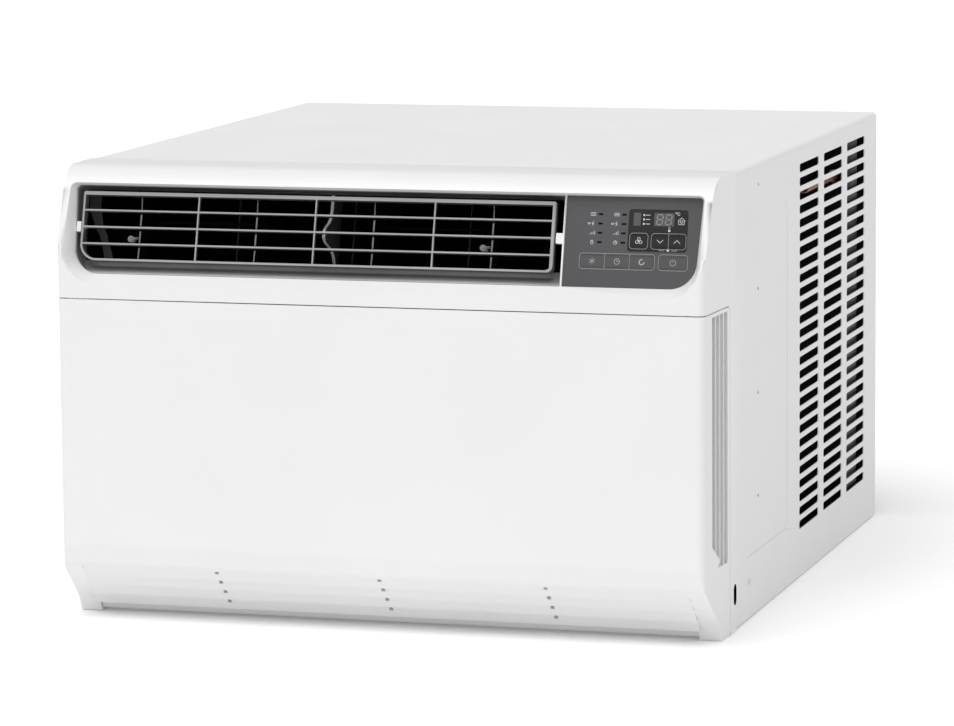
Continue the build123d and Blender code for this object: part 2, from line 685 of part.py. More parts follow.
with BuildPart() as key_switches:
    for u0, u1, v0, v1 in keys.values():
        u, v = (u0 + u1) / 2, (v0 + v1) / 2
        add(rim_block(u - 3, u + 3, v - 3, v + 3, board_front, board_front + switch_h))
save(key_switches.part, "key_switches")

with BuildPart() as display_module:
    add(rim_block(panel_u + 248, panel_u + 299, 57, 74, board_front, window_back - 0.2))
save(display_module.part, "display_module")

# ---------------------------------------------------------------- chassis floor and bulkheads
# coil sizes: x, y and z spans of the fins
evap = (46.0 - width / 2, width / 2 - 98.0, edge + 18, edge + 52, 36.0, plenum_z0 - 14.0)
cond = (32.0 - width / 2, width / 2 - 32.0, edge + 592, edge + 632, 14.0, height - 16.0)
plate_gap, plate_t = 2.0, 1.2       # coil end plates: off the fins, and thick
tube_pitch, tube_r = 21.0, 3.6
tube_low = 20.0                     # lowest tube, above the fins' foot
row_share = (0.3, 0.72)             # the two tube rows, as shares of a coil's depth


def tube_count(z0, z1):
    """Even number of tubes in one upright row."""
    return 2 * int((z1 - z0 - tube_low) / (2 * tube_pitch))


# where the pipes meet the coils, and how far out they run
evap_end, cond_end = evap[1] + plate_gap + plate_t, cond[1] + plate_gap + plate_t
evap_row = evap[2] + (evap[3] - evap[2]) * row_share[0]
cond_row = cond[2] + (cond[3] - cond[2]) * row_share[0]
evap_low, cond_low = evap[4] + tube_low, cond[4] + tube_low
evap_high = evap_low + tube_pitch * (tube_count(evap[4], evap[5]) - 1)
cond_high = cond_low + tube_pitch * (tube_count(cond[4], cond[5]) - 1)
line_x = cond_end + 10.8
comp_x, comp_y, comp_r = width / 2 - 108.0, edge + 380, 60.0
acc_x, acc_y, acc_top = comp_x + 30, comp_y - 96, height / 2 + 1.0

pan_t = 1.2
pan_z = sheet + rail_h
floor_z = pan_z + pan_t
pan_x = inner_x - slip - 2
pan_rim = 22.0
with BuildPart() as base_pan:
    add(block(-pan_x, pan_x, edge + 16, rear - sheet - 4, pan_z, pan_z + pan_rim))
    add(block(-pan_x + pan_t, pan_x - pan_t, edge + 16 + pan_t, rear - sheet - 4 - pan_t,
              floor_z, pan_z + pan_rim + 1), mode=Mode.SUBTRACT)
    tongue = block(-250, 250, plate_y + wall, edge + 17, pan_z, floor_z)
    add(tongue)
save(base_pan.part, "base_pan")

wall_x = pan_x - pan_t
partition_y = plenum_y1 + 4
bulkhead_top = height - 14
with BuildPart() as partition:
    add(block(-wall_x, wall_x, partition_y, partition_y + pan_t, floor_z, bulkhead_top))
    add(rod(axis_x, partition_y, axis_z, 16, 10, along_y), mode=Mode.SUBTRACT)
    add(rod(acc_x, partition_y, evap_high, 9, 10, along_y), mode=Mode.SUBTRACT)
    add(rod(line_x, partition_y, cond_low, 6, 10, along_y), mode=Mode.SUBTRACT)
save(partition.part, "partition")

shroud_y0, shroud_y1 = edge + 528, edge + 586
shroud_t = 2.0
fan_r = 172.0 * tall
orifice_r = fan_r + 6
with BuildPart() as fan_shroud:
    add(block(-wall_x, wall_x, shroud_y0, shroud_y1, floor_z, bulkhead_top))
    add(block(-wall_x + shroud_t, wall_x - shroud_t, shroud_y0 + shroud_t, shroud_y1 + 1,
              floor_z + shroud_t, bulkhead_top - shroud_t), mode=Mode.SUBTRACT)
    add(rod(axis_x, shroud_y0 - 12, axis_z, orifice_r + shroud_t, 26, along_y))
    add(rod(axis_x, shroud_y0 - 12, axis_z, orifice_r, 40, along_y), mode=Mode.SUBTRACT)
    add(rod(line_x, shroud_y0, cond_high, 7, 10, along_y), mode=Mode.SUBTRACT)
    add(rod(line_x, shroud_y0, cond_low, 6, 10, along_y), mode=Mode.SUBTRACT)
save(fan_shroud.part, "fan_shroud")


# ---------------------------------------------------------------- coils
def fin_pack(x0, x1, y0, y1, z0, z1, count):
    """Upright fins threaded on three level tubes that end at the end plates."""
    pitch = (x1 - x0) / (count - 1)
    with BuildPart() as pack:
        with BuildSketch(level(z0)):
            with Locations(((x0 + x1) / 2, (y0 + y1) / 2)):
                with GridLocations(pitch, 0, count, 1):
                    Rectangle(0.8, y1 - y0)
        extrude(amount=z1 - z0)
        for z in (z0 + 30, (z0 + z1) / 2, z1 - 30):
            add(rod((x0 + x1) / 2, (y0 + y1) / 2, z, tube_r, x1 - x0 + 2 * plate_gap, along_x))
    return pack.part


def end_plates(x0, x1, y0, y1, z0, z1):
    """Steel plates at a coil's two ends, with flanges turned outwards."""
    with BuildPart() as plates:
        for x, side in ((x0, -1), (x1, 1)):
            outer = plate_gap + plate_t
            add(block(x + side * plate_gap, x + side * outer, y0, y1, z0, z1))
            add(block(x + side * plate_gap, x + side * (outer + 5), y0, y0 + plate_t, z0, z1))
    return plates.part


def return_bends(x0, x1, y0, y1, z0, z1):
    """Half-round bends that join the tubes in pairs, staggered from end to end."""
    start = plate_gap + plate_t
    with BuildPart() as bends:
        for x, side, first in ((x0, -1, 0), (x1, 1, 1)):
            for share in row_share:
                for k in range(first, tube_count(z0, z1) - 1, 2):
                    y = y0 + (y1 - y0) * share
                    z = z0 + tube_low + tube_pitch * (k + 0.5)
                    ring = Plane(origin=(x + side * start, y, z), x_dir=(0, 0, 1),
                                 z_dir=(side, 0, 0))
                    with BuildSketch(ring):
                        with Locations((tube_pitch / 2, 0)):
                            Circle(tube_r)
                    revolve(axis=Axis((x + side * start, y, z), (0, side, 0)),
                            revolution_arc=180)
    return bends.part


save(fin_pack(*evap, 58), "evaporator_fins")
save(end_plates(*evap), "evaporator_ends")
save(return_bends(*evap), "evaporator_bends")
save(fin_pack(*cond, 66), "condenser_fins")
save(end_plates(*cond), "condenser_ends")
save(return_bends(*cond), "condenser_bends")

with BuildPart() as drip_tray:
    tray = (evap[0] - 20, evap[1] + 20, edge + 17.4, edge + 56)
    add(block(*tray, floor_z, evap[4]))
    add(block(tray[0] + 2, tray[1] - 2, tray[2] + 2, tray[3] - 2, floor_z + 2, evap[4] + 1),
        mode=Mode.SUBTRACT)
    for x in (-200, 0, 200):
        add(block(x - 4, x + 4, tray[2] + 1, tray[3] - 1, floor_z + 1, evap[4]))
save(drip_tray.part, "drip_tray")


# ---------------------------------------------------------------- air movers
def scroll_outline(grow):
    """Spiral case growing round the wheel to an upright throat."""
    steps = 7
    spiral = []
    for k in range(steps + 1):
        angle = cutoff + k * (360 - cutoff) / steps
        radius = scroll_r0 + (scroll_r1 - scroll_r0) * k / steps + grow
        spiral.append((axis_x + radius * cos(radians(angle)), axis_z + radius * sin(radians(angle))))
    with BuildSketch(facing(scroll_y0)) as outline:
        with BuildLine():
            Spline(*spiral)
            Polyline(spiral[-1], (throat_x1 + grow, plenum_z0), (throat_x0 - grow, plenum_z0),
                     spiral[0])
        make_face()
    return outline.sketch


scroll_outer = extrude(scroll_outline(duct_wall), amount=-(scroll_y1 - scroll_y0))
scroll_inner = extrude(scroll_outline(0), amount=-(scroll_y1 - scroll_y0 - 2 * duct_wall))
scroll_inner = Pos(0, duct_wall, 0) * scroll_inner
scroll_mouth = block(throat_x0, throat_x1, scroll_y0 + duct_wall, scroll_y1 - duct_wall,
                     plenum_z0 - 30, plenum_z0 + 5)
with BuildPart() as scroll_housing:
    add(scroll_outer)
    add(scroll_inner, mode=Mode.SUBTRACT)
    add(scroll_mouth, mode=Mode.SUBTRACT)
    add(rod(axis_x, scroll_y0, axis_z, 90, 12, along_y), mode=Mode.SUBTRACT)
    add(rod(axis_x, scroll_y1, axis_z, 14, 12, along_y), mode=Mode.SUBTRACT)
save(scroll_housing.part, "scroll_housing")

shaft_r = 6.0
wheel_r = 104.0 * tall
wheel_y0, wheel_y1 = scroll_y0 + 8, scroll_y1 - 8
blade_count = 36
with BuildPart() as blower_wheel:
    add(rod(axis_x, wheel_y1 - 1.5, axis_z, wheel_r, 3, along_y))
    add(rod(axis_x, wheel_y0 + 2, axis_z, wheel_r, 4, along_y))
    add(rod(axis_x, wheel_y0 + 2, axis_z, wheel_r - 16, 6, along_y), mode=Mode.SUBTRACT)
    with BuildSketch(facing(wheel_y0 + 2)):
        with Locations((axis_x, axis_z)):
            with PolarLocations(wheel_r - 8.5, blade_count):
                Rectangle(15, 1.4, rotation=28)
    extrude(amount=-(wheel_y1 - wheel_y0 - 4))
    add(rod(axis_x, wheel_y1 - 12, axis_z, 16, 24, along_y))
    add(rod(axis_x, wheel_y1 - 12, axis_z, shaft_r, 40, along_y), mode=Mode.SUBTRACT)
save(blower_wheel.part, "blower_wheel")

fan_y0, fan_y1 = shroud_y0 - 46, shroud_y0 - 2
with BuildPart() as condenser_fan:
    add(rod(axis_x, (fan_y0 + fan_y1) / 2, axis_z, 34, fan_y1 - fan_y0, along_y))
    for k in range(5):
        blade = Pos(axis_x, (fan_y0 + fan_y1) / 2, axis_z) * Rot(0, 72 * k, 0) * Rot(32, 0, 0)
        add(blade * Pos(100, 0, 0) * Box(142, 2.4, 72, mode=Mode.PRIVATE))
    add(rod(axis_x, (fan_y0 + fan_y1) / 2, axis_z, fan_r - 3, 200, along_y), mode=Mode.INTERSECT)
with BuildPart() as slinger:
    add(rod(axis_x, fan_y1 - 8, axis_z, fan_r, 12, along_y))
    add(rod(axis_x, fan_y1 - 8, axis_z, fan_r - 4, 14, along_y), mode=Mode.SUBTRACT)
shaft_bore = rod(axis_x, fan_y1, axis_z, shaft_r, 300, along_y)
save(condenser_fan.part + slinger.part - shaft_bore, "condenser_fan")

with BuildPart() as motor_shaft:
    shaft_y0, shaft_y1 = wheel_y1 - 30, fan_y1 + 6
    add(rod(axis_x, (shaft_y0 + shaft_y1) / 2, axis_z, shaft_r, shaft_y1 - shaft_y0, along_y))
save(motor_shaft.part, "motor_shaft")

motor_r = 58.0
motor_y0, motor_y1 = edge + 228, edge + 330
with BuildPart() as fan_motor:
    with BuildSketch(Plane(origin=(axis_x, 0, axis_z), x_dir=(0, 1, 0), z_dir=(0, 0, 1))):
        with BuildLine():
            Polyline((motor_y0 - 14, shaft_r + pin_play), (motor_y0 - 14, 18), (motor_y0, 18),
                     (motor_y0, 46), (motor_y0 + 12, motor_r), (motor_y1 - 12, motor_r),
                     (motor_y1, 46), (motor_y1, 18), (motor_y1 + 14, 18),
                     (motor_y1 + 14, shaft_r + pin_play), close=True)
        make_face()
    revolve(axis=Axis((axis_x, 0, axis_z), (0, 1, 0)))
save(fan_motor.part, "fan_motor")

with BuildPart() as motor_bracket:
    post_y0 = motor_y0 - 3
    add(block(axis_x - 75, axis_x + 75, post_y0, motor_y0, floor_z, axis_z + 66))
    add(block(axis_x - 75, axis_x + 75, post_y0, motor_y1 + 20, floor_z, floor_z + 3))
    add(block(axis_x - 75, axis_x - 72, post_y0, motor_y1, floor_z, axis_z - motor_r - 10))
    add(block(axis_x + 72, axis_x + 75, post_y0, motor_y1, floor_z, axis_z - motor_r - 10))
    add(rod(axis_x, motor_y0, axis_z, 18 + fit, 20, along_y), mode=Mode.SUBTRACT)
save(motor_bracket.part, "motor_bracket")

# ---------------------------------------------------------------- refrigerant circuit
comp_z0, comp_z1 = floor_z + 16, plenum_z0 - 66.0
with BuildPart() as compressor:
    add(rod(comp_x, comp_y, (comp_z0 + comp_z1) / 2, comp_r, comp_z1 - comp_z0))
    fillet(compressor.edges().filter_by(GeomType.CIRCLE), 26)
    add(block(comp_x - 78, comp_x + 78, comp_y - 62, comp_y + 62, comp_z0 + 6, comp_z0 + 10))
    for sx, sy in ((-1, -1), (1, -1), (-1, 1), (1, 1)):
        add(rod(comp_x + sx * 66, comp_y + sy * 50, comp_z0 + 8, 6, 10), mode=Mode.SUBTRACT)
save(compressor.part, "compressor")

with BuildPart() as compressor_feet:
    for sx, sy in ((-1, -1), (1, -1), (-1, 1), (1, 1)):
        x, y = comp_x + sx * 66, comp_y + sy * 50
        add(rod(x, y, (floor_z + comp_z0 + 6) / 2, 10, comp_z0 + 6 - floor_z))
        add(rod(x, y, comp_z0 + 8, 5.9, 4))
        add(rod(x, y, comp_z0 + 13, 10, 6))
save(compressor_feet.part, "compressor_feet")

with BuildPart() as terminal_cover:
    with BuildSketch(level(comp_z1 - 3)):
        with Locations((comp_x + 12, comp_y + 6)):
            RectangleRounded(52, 40, 8)
    extrude(amount=24)
    add(compressor.part, mode=Mode.SUBTRACT)
save(terminal_cover.part, "terminal_cover")

with BuildPart() as accumulator:
    add(rod(acc_x, acc_y, acc_top - 75, 24, 150))
    fillet(accumulator.edges().filter_by(GeomType.CIRCLE), 14)
save(accumulator.part, "accumulator")


def pipe(points, bend, tube_r):
    """Round pipe along straight runs with equal bends."""
    with BuildPart() as tube:
        with BuildLine() as route:
            FilletPolyline(*points, radius=bend)
        with BuildSketch(Plane(origin=route.line @ 0, z_dir=route.line % 0)):
            Circle(tube_r)
        sweep()
    return tube.part


suction = pipe([(acc_x, acc_y, acc_top), (acc_x, acc_y, evap_high), (acc_x, evap_row, evap_high),
                (evap_end, evap_row, evap_high)], 12, 5.0)
save(suction, "suction_line")
return_leg = pipe([(acc_x, acc_y, 75), (acc_x, acc_y, 40), (acc_x, comp_y - comp_r + 2, 40)], 12,
                  5.0)
save(return_leg - accumulator.part - compressor.part, "suction_leg")
discharge = pipe([(comp_x - 30, comp_y, comp_z1), (comp_x - 30, comp_y, cond_high),
                  (line_x, comp_y, cond_high), (line_x, cond_row, cond_high),
                  (cond_end, cond_row, cond_high)], 9, 4.0)
save(discharge - compressor.part, "discharge_line")
liquid = pipe([(cond_end, cond_row, cond_low), (line_x, cond_row, cond_low),
               (line_x, evap_row + 70, cond_low), (line_x, evap_row + 70, evap_low),
               (line_x, evap_row, evap_low), (evap_end, evap_row, evap_low)], 9, 3.0)
save(liquid, "liquid_line")

# ---------------------------------------------------------------- electrics
box_x0, box_x1 = plenum_x1 + 4, width / 2 - 14.0
box_y0, box_y1 = edge - 20, partition_y
box_z0, box_z1 = plenum_z0, plenum_z1
with BuildPart() as control_box:
    add(block(box_x0, box_x1, box_y0, box_y1, box_z0, box_z1))
    add(block(box_x0 + 1, box_x1 - 1, box_y0 + 1, box_y1 - 1, box_z0 + 1, box_z1 + 1),
        mode=Mode.SUBTRACT)
save(control_box.part, "control_box")
with BuildPart() as run_capacitor:
    add(rod(box_x1 - 28, box_y1 - 60, box_z0 + 1 + 23, 23, 86, along_y))
save(run_capacitor.part, "run_capacitor")
with BuildPart() as power_board:
    add(block(box_x0 + 8, box_x1 - 54, box_y0 + 12, box_y1 - 12, box_z0 + 9, box_z0 + 10.6))
    for x in (box_x0 + 14, box_x1 - 60):
        for y in (box_y0 + 20, box_y1 - 20):
            add(rod(x, y, box_z0 + 5, 3, 8))
    add(block(box_x0 + 14, box_x0 + 40, box_y0 + 30, box_y0 + 90, box_z0 + 10, box_z0 + 40))
    add(block(box_x0 + 48, box_x0 + 66, box_y0 + 40, box_y0 + 62, box_z0 + 10, box_z0 + 34))
save(power_board.part, "power_board")
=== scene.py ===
import json
from math import atan2, cos, pi, radians, sin
import bmesh
import bpy
from mathutils import Matrix, Vector


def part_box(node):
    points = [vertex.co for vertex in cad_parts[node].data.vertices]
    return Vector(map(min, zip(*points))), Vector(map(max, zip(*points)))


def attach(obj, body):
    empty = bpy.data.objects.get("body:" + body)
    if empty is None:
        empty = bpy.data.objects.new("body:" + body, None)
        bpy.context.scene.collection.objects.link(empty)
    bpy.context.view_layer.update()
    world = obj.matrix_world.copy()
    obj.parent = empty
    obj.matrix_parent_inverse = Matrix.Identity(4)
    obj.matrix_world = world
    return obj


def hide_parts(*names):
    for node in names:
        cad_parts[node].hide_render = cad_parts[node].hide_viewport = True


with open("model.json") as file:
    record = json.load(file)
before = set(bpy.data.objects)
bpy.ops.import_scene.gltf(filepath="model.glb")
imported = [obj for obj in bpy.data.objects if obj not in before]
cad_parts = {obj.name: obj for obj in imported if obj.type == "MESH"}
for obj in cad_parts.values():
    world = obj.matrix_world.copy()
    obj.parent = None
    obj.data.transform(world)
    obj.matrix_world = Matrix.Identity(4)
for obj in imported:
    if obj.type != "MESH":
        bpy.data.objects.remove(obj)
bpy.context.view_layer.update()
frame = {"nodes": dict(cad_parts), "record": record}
print("frame loaded")

cabinetLow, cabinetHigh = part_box("cabinet")
edgeY = cabinetLow.y  # where the steel cabinet meets the plastic front
bodyOf = {node: body for body, nodes in frame["record"]["behaviour"]["bodies"].items() for node in nodes}
slotOf = {part["node"]: part["material_slot"] for part in frame["record"]["subparts"]}

# the outlet opening's own plane: u across, v up along it, w out of it
outlet = {"tilt": 15.5, "rimBack": 0.0983, "rimHeight": 0.345}
rimTilt = radians(outlet["tilt"])
rimPlace = Matrix((
    (1, 0, 0, 0),
    (0, sin(rimTilt), -cos(rimTilt), edgeY - outlet["rimBack"]),
    (0, cos(rimTilt), sin(rimTilt), outlet["rimHeight"]),
    (0, 0, 0, 1)))

# ---- camera, light and floor
cameraView = {"place": (1.3452, -4.5610, 0.8891), "yaw": 16.58, "pitch": -8.08, "roll": -0.50, "lens": 174.04}
softSuns = {
    "keyLight": {"from": (-0.09, -0.46, 0.88), "spread": 50, "power": 0.58},
}
room = {"floor": 80.0, "floorGrey": 0.95, "floorRough": 0.75, "sky": 0.57, "glow": 0.10}


def makeCamera():
    data = bpy.data.cameras.new("studioCamera")
    data.lens = cameraView["lens"]
    data.sensor_width = 36
    data.clip_end = 60
    camera = bpy.data.objects.new("studioCamera", data)
    turn = Matrix.Rotation(radians(cameraView["yaw"]), 4, "Z")
    turn = turn @ Matrix.Rotation(radians(90 + cameraView["pitch"]), 4, "X")
    turn = turn @ Matrix.Rotation(radians(cameraView["roll"]), 4, "Z")
    camera.matrix_world = Matrix.Translation(cameraView["place"]) @ turn
    bpy.context.scene.collection.objects.link(camera)
    bpy.context.scene.camera = camera


def makeLights():
    for name, light in softSuns.items():
        data = bpy.data.lights.new(name, "SUN")
        data.angle = radians(light["spread"])
        data.energy = light["power"] * pi
        sun = bpy.data.objects.new(name, data)
        sun.rotation_euler = Vector(light["from"]).to_track_quat("Z", "Y").to_euler()
        bpy.context.scene.collection.objects.link(sun)
    world = bpy.data.worlds.new("paleRoom")
    world.use_nodes = True
    world.node_tree.nodes["Background"].inputs["Color"].default_value = (1, 1, 1, 1)
    world.node_tree.nodes["Background"].inputs["Strength"].default_value = room["sky"]
    bpy.context.scene.world = world
    bpy.context.scene.view_settings.view_transform = "Standard"


def makeFloor():
    mesh = bpy.data.meshes.new("floor")
    bm = bmesh.new()
    bmesh.ops.create_grid(bm, x_segments=1, y_segments=1, size=room["floor"] / 2)
    bm.to_mesh(mesh)
    bm.free()
    floor = bpy.data.objects.new("floor", mesh)
    bpy.context.scene.collection.objects.link(floor)
    paint = bpy.data.materials.new("paleFloor")
    paint.use_nodes = True
    shader = paint.node_tree.nodes["Principled BSDF"]
    shader.inputs["Base Color"].default_value = (*[room["floorGrey"]] * 3, 1)
    shader.inputs["Roughness"].default_value = room["floorRough"]
    shader.inputs["Emission Color"].default_value = (1, 1, 1, 1)  # lit a little from below, as a light table
    shader.inputs["Emission Strength"].default_value = room["glow"]
    mesh.materials.append(paint)


makeCamera()
makeLights()
makeFloor()
print("camera, lights and floor set")


# ---- shader groups that the finishes share
skinOutputs = {"Colour": "NodeSocketColor", "Roughness": "NodeSocketFloat", "Normal": "NodeSocketVector"}


def newGroup(name, inputs, outputs):
    group = bpy.data.node_groups.new(name, "ShaderNodeTree")
    for label, value in inputs.items():
        kind = "NodeSocketColor" if isinstance(value, tuple) else "NodeSocketFloat"
        group.interface.new_socket(label, in_out="INPUT", socket_type=kind).default_value = value
    for label, kind in outputs.items():
        group.interface.new_socket(label, in_out="OUTPUT", socket_type=kind)
    start, end = group.nodes.new("NodeGroupInput"), group.nodes.new("NodeGroupOutput")
    return group, start, end


def addNode(tree, kind, values=None, **settings):
    node = tree.nodes.new(kind)
    for key, value in settings.items():
        setattr(node, key, value)
    for socket, value in (values or {}).items():
        node.inputs[socket].default_value = value
    return node


def makeGrainGroup():
    group, start, end = newGroup(
        "mouldedGrain", {"Colour": (0.8, 0.8, 0.8, 1), "Scale": 900.0, "Depth": 0.15,
                         "Fleck": 0.03, "Roughness": 0.4}, skinOutputs)
    link = group.links.new
    place = addNode(group, "ShaderNodeTexCoord")
    fine = addNode(group, "ShaderNodeTexNoise", {"Detail": 3.0, "Roughness": 0.55})
    broad = addNode(group, "ShaderNodeTexNoise", {"Scale": 9.0, "Detail": 2.0})
    bump = addNode(group, "ShaderNodeBump", {"Distance": 0.0002})
    spread = addNode(group, "ShaderNodeMapRange", {"From Min": 0.3, "From Max": 0.7, "To Min": -1.0, "To Max": 1.0})
    amount = addNode(group, "ShaderNodeMath", operation="MULTIPLY")
    lift = addNode(group, "ShaderNodeMath", {1: 1.0}, operation="ADD")
    tint = addNode(group, "ShaderNodeVectorMath", operation="SCALE")
    rough = addNode(group, "ShaderNodeMath", operation="MULTIPLY_ADD")
    link(place.outputs["Object"], fine.inputs["Vector"])
    link(place.outputs["Object"], broad.inputs["Vector"])
    link(start.outputs["Scale"], fine.inputs["Scale"])
    link(fine.outputs["Fac"], bump.inputs["Height"])
    link(start.outputs["Depth"], bump.inputs["Strength"])
    link(broad.outputs["Fac"], spread.inputs["Value"])
    link(spread.outputs["Result"], amount.inputs[0])
    link(start.outputs["Fleck"], amount.inputs[1])
    link(amount.outputs[0], lift.inputs[0])
    link(start.outputs["Colour"], tint.inputs[0])
    link(lift.outputs[0], tint.inputs["Scale"])
    link(amount.outputs[0], rough.inputs[0])
    rough.inputs[1].default_value = 1.2
    link(start.outputs["Roughness"], rough.inputs[2])
    link(tint.outputs["Vector"], end.inputs["Colour"])
    link(rough.outputs[0], end.inputs["Roughness"])
    link(bump.outputs["Normal"], end.inputs["Normal"])
    return group


def makeBrushGroup():
    group, start, end = newGroup(
        "rolledSheet", {"Colour": (0.6, 0.6, 0.6, 1), "Along X": 8.0, "Along Y": 600.0, "Along Z": 600.0,
                        "Depth": 0.2, "Fleck": 0.08, "Roughness": 0.35}, skinOutputs)
    link = group.links.new
    place = addNode(group, "ShaderNodeTexCoord")
    stretch = addNode(group, "ShaderNodeVectorMath", operation="MULTIPLY")
    scales = addNode(group, "ShaderNodeCombineXYZ")
    for axis in "XYZ":
        link(start.outputs["Along " + axis], scales.inputs[axis])
    lines = addNode(group, "ShaderNodeTexNoise", {"Scale": 1.0, "Detail": 4.0})
    patches = addNode(group, "ShaderNodeTexVoronoi", {"Scale": 55.0}, feature="F1")
    blend = addNode(group, "ShaderNodeMath", {1: 0.5}, operation="MULTIPLY_ADD")
    spread = addNode(group, "ShaderNodeMapRange", {"From Min": 0.3, "From Max": 1.2, "To Min": -1.0, "To Max": 1.0})
    amount = addNode(group, "ShaderNodeMath", operation="MULTIPLY")
    lift = addNode(group, "ShaderNodeMath", {1: 1.0}, operation="ADD")
    tint = addNode(group, "ShaderNodeVectorMath", operation="SCALE")
    rough = addNode(group, "ShaderNodeMath", {1: 1.5}, operation="MULTIPLY_ADD")
    bump = addNode(group, "ShaderNodeBump", {"Distance": 0.0001})
    link(place.outputs["Object"], stretch.inputs[0])
    link(scales.outputs["Vector"], stretch.inputs[1])
    link(stretch.outputs["Vector"], lines.inputs["Vector"])
    link(place.outputs["Object"], patches.inputs["Vector"])
    link(patches.outputs["Color"], blend.inputs[0])
    link(lines.outputs["Fac"], blend.inputs[2])
    link(blend.outputs[0], spread.inputs["Value"])
    link(spread.outputs["Result"], amount.inputs[0])
    link(start.outputs["Fleck"], amount.inputs[1])
    link(amount.outputs[0], lift.inputs[0])
    link(start.outputs["Colour"], tint.inputs[0])
    link(lift.outputs[0], tint.inputs["Scale"])
    link(amount.outputs[0], rough.inputs[0])
    link(start.outputs["Roughness"], rough.inputs[2])
    link(lines.outputs["Fac"], bump.inputs["Height"])
    link(start.outputs["Depth"], bump.inputs["Strength"])
    link(tint.outputs["Vector"], end.inputs["Colour"])
    link(rough.outputs[0], end.inputs["Roughness"])
    link(bump.outputs["Normal"], end.inputs["Normal"])
    return group


grainGroup, brushGroup = makeGrainGroup(), makeBrushGroup()

# ---- finishes: colour, roughness, grain
finishes = {
    "cabinetPaint": {"colour": (0.79, 0.79, 0.79), "rough": 0.48, "scale": 420, "depth": 0.20, "fleck": 0.012, "gloss": 0.15},
    "frontPlastic": {"colour": (0.77, 0.77, 0.77), "rough": 0.38, "scale": 1500, "depth": 0.08, "fleck": 0.010},
    "gridPlastic": {"colour": (0.33, 0.335, 0.34), "rough": 0.42, "scale": 1500, "depth": 0.10, "fleck": 0.05},
    # near black: painted shade for the unlit inside of the duct, its vanes and links
    "ductShadeBlack": {"colour": (0.0028, 0.0028, 0.003), "rough": 0.85, "scale": 900, "depth": 0.20, "fleck": 0.15, "gloss": 0.08},
    "clipPlastic": {"colour": (0.80, 0.81, 0.81), "rough": 0.40, "scale": 1500, "depth": 0.08, "fleck": 0.02},
    "panelPlastic": {"colour": (0.068, 0.069, 0.072), "rough": 0.40, "scale": 1800, "depth": 0.10, "fleck": 0.04},
    "displayGloss": {"colour": (0.014, 0.014, 0.015), "rough": 0.20, "scale": 700, "depth": 0.02, "fleck": 0.05},
    "lampGloss": {"colour": (0.002, 0.002, 0.0022), "rough": 0.35, "scale": 700, "depth": 0.02, "fleck": 0.05, "gloss": 0.1},
    "printGrey": {"colour": (0.42, 0.42, 0.42), "rough": 0.5, "scale": 2500, "depth": 0.05, "fleck": 0.08},
    "printWhite": {"colour": (0.62, 0.62, 0.62), "rough": 0.5, "scale": 2500, "depth": 0.05, "fleck": 0.08},
    "digitGrey": {"colour": (0.24, 0.24, 0.24), "rough": 0.3, "scale": 2500, "depth": 0.03, "fleck": 0.06},
    "windowGrey": {"colour": (0.085, 0.085, 0.087), "rough": 0.25, "scale": 2500, "depth": 0.03, "fleck": 0.06},
    # near black: painted shade for inner faces and ends that lie in shade
    "innerPaintedShade": {"colour": (0.0030, 0.0030, 0.0032), "rough": 0.85, "scale": 300, "depth": 0.5, "fleck": 0.15, "gloss": 0.08},
    "gridPaintedShade": {"colour": (0.11, 0.112, 0.115), "rough": 0.45, "scale": 1500, "depth": 0.10, "fleck": 0.05},
    # near black: painted shade, so the shroud, scroll housing and partition read dark through the slots
    "insideShadeBlack": {"colour": (0.011, 0.011, 0.012), "rough": 0.60, "scale": 500, "depth": 0.35, "fleck": 0.15, "gloss": 0.25},
    "vanePaintedHighlight": {"colour": (0.40, 0.41, 0.41), "rough": 0.42, "scale": 1500, "depth": 0.08, "fleck": 0.04},
    "postPaintedHighlight": {"colour": (0.74, 0.75, 0.75), "rough": 0.40, "scale": 1500, "depth": 0.08, "fleck": 0.03},
    "guideGrey": {"colour": (0.058, 0.059, 0.061), "rough": 0.7, "scale": 1200, "depth": 0.12, "fleck": 0.05, "gloss": 0.2},
    "ribPaintedShadow": {"colour": (0.34, 0.34, 0.34), "rough": 0.6, "scale": 1200, "depth": 0.1, "fleck": 0.05},
    "boardGreen": {"colour": (0.02, 0.12, 0.05), "rough": 0.4, "scale": 300, "depth": 0.4, "fleck": 0.2},
    "switchBlack": {"colour": (0.015, 0.015, 0.015), "rough": 0.45, "scale": 1200, "depth": 0.1, "fleck": 0.08},
    "blackPaint": {"colour": (0.016, 0.016, 0.017), "rough": 0.38, "scale": 500, "depth": 0.3, "fleck": 0.10, "coat": 0.2},
    "foamWhite": {"colour": (0.72, 0.73, 0.72), "rough": 0.8, "scale": 260, "depth": 0.9, "fleck": 0.03},
    "fanPlastic": {"colour": (0.045, 0.048, 0.052), "rough": 0.42, "scale": 900, "depth": 0.15, "fleck": 0.06},
    "rubber": {"colour": (0.012, 0.012, 0.012), "rough": 0.7, "scale": 800, "depth": 0.3, "fleck": 0.1},
    "meshNylon": {"colour": (0.05, 0.065, 0.085), "rough": 0.7, "scale": 1200, "depth": 0.4, "fleck": 0.1},
}
metals = {
    "zincSteel": {"colour": (0.60, 0.61, 0.62), "rough": 0.32, "along": (500, 12, 500), "depth": 0.15, "fleck": 0.06},
    "galvanised": {"colour": (0.52, 0.53, 0.54), "rough": 0.42, "along": (12, 400, 400), "depth": 0.10, "fleck": 0.14},
    "finAluminium": {"colour": (0.72, 0.73, 0.74), "rough": 0.30, "along": (900, 30, 8), "depth": 0.20, "fleck": 0.06},
    "copper": {"colour": (0.50, 0.21, 0.11), "rough": 0.34, "along": (60, 60, 60), "depth": 0.10, "fleck": 0.12},
    "canAluminium": {"colour": (0.70, 0.71, 0.72), "rough": 0.25, "along": (300, 12, 300), "depth": 0.10, "fleck": 0.05},
}
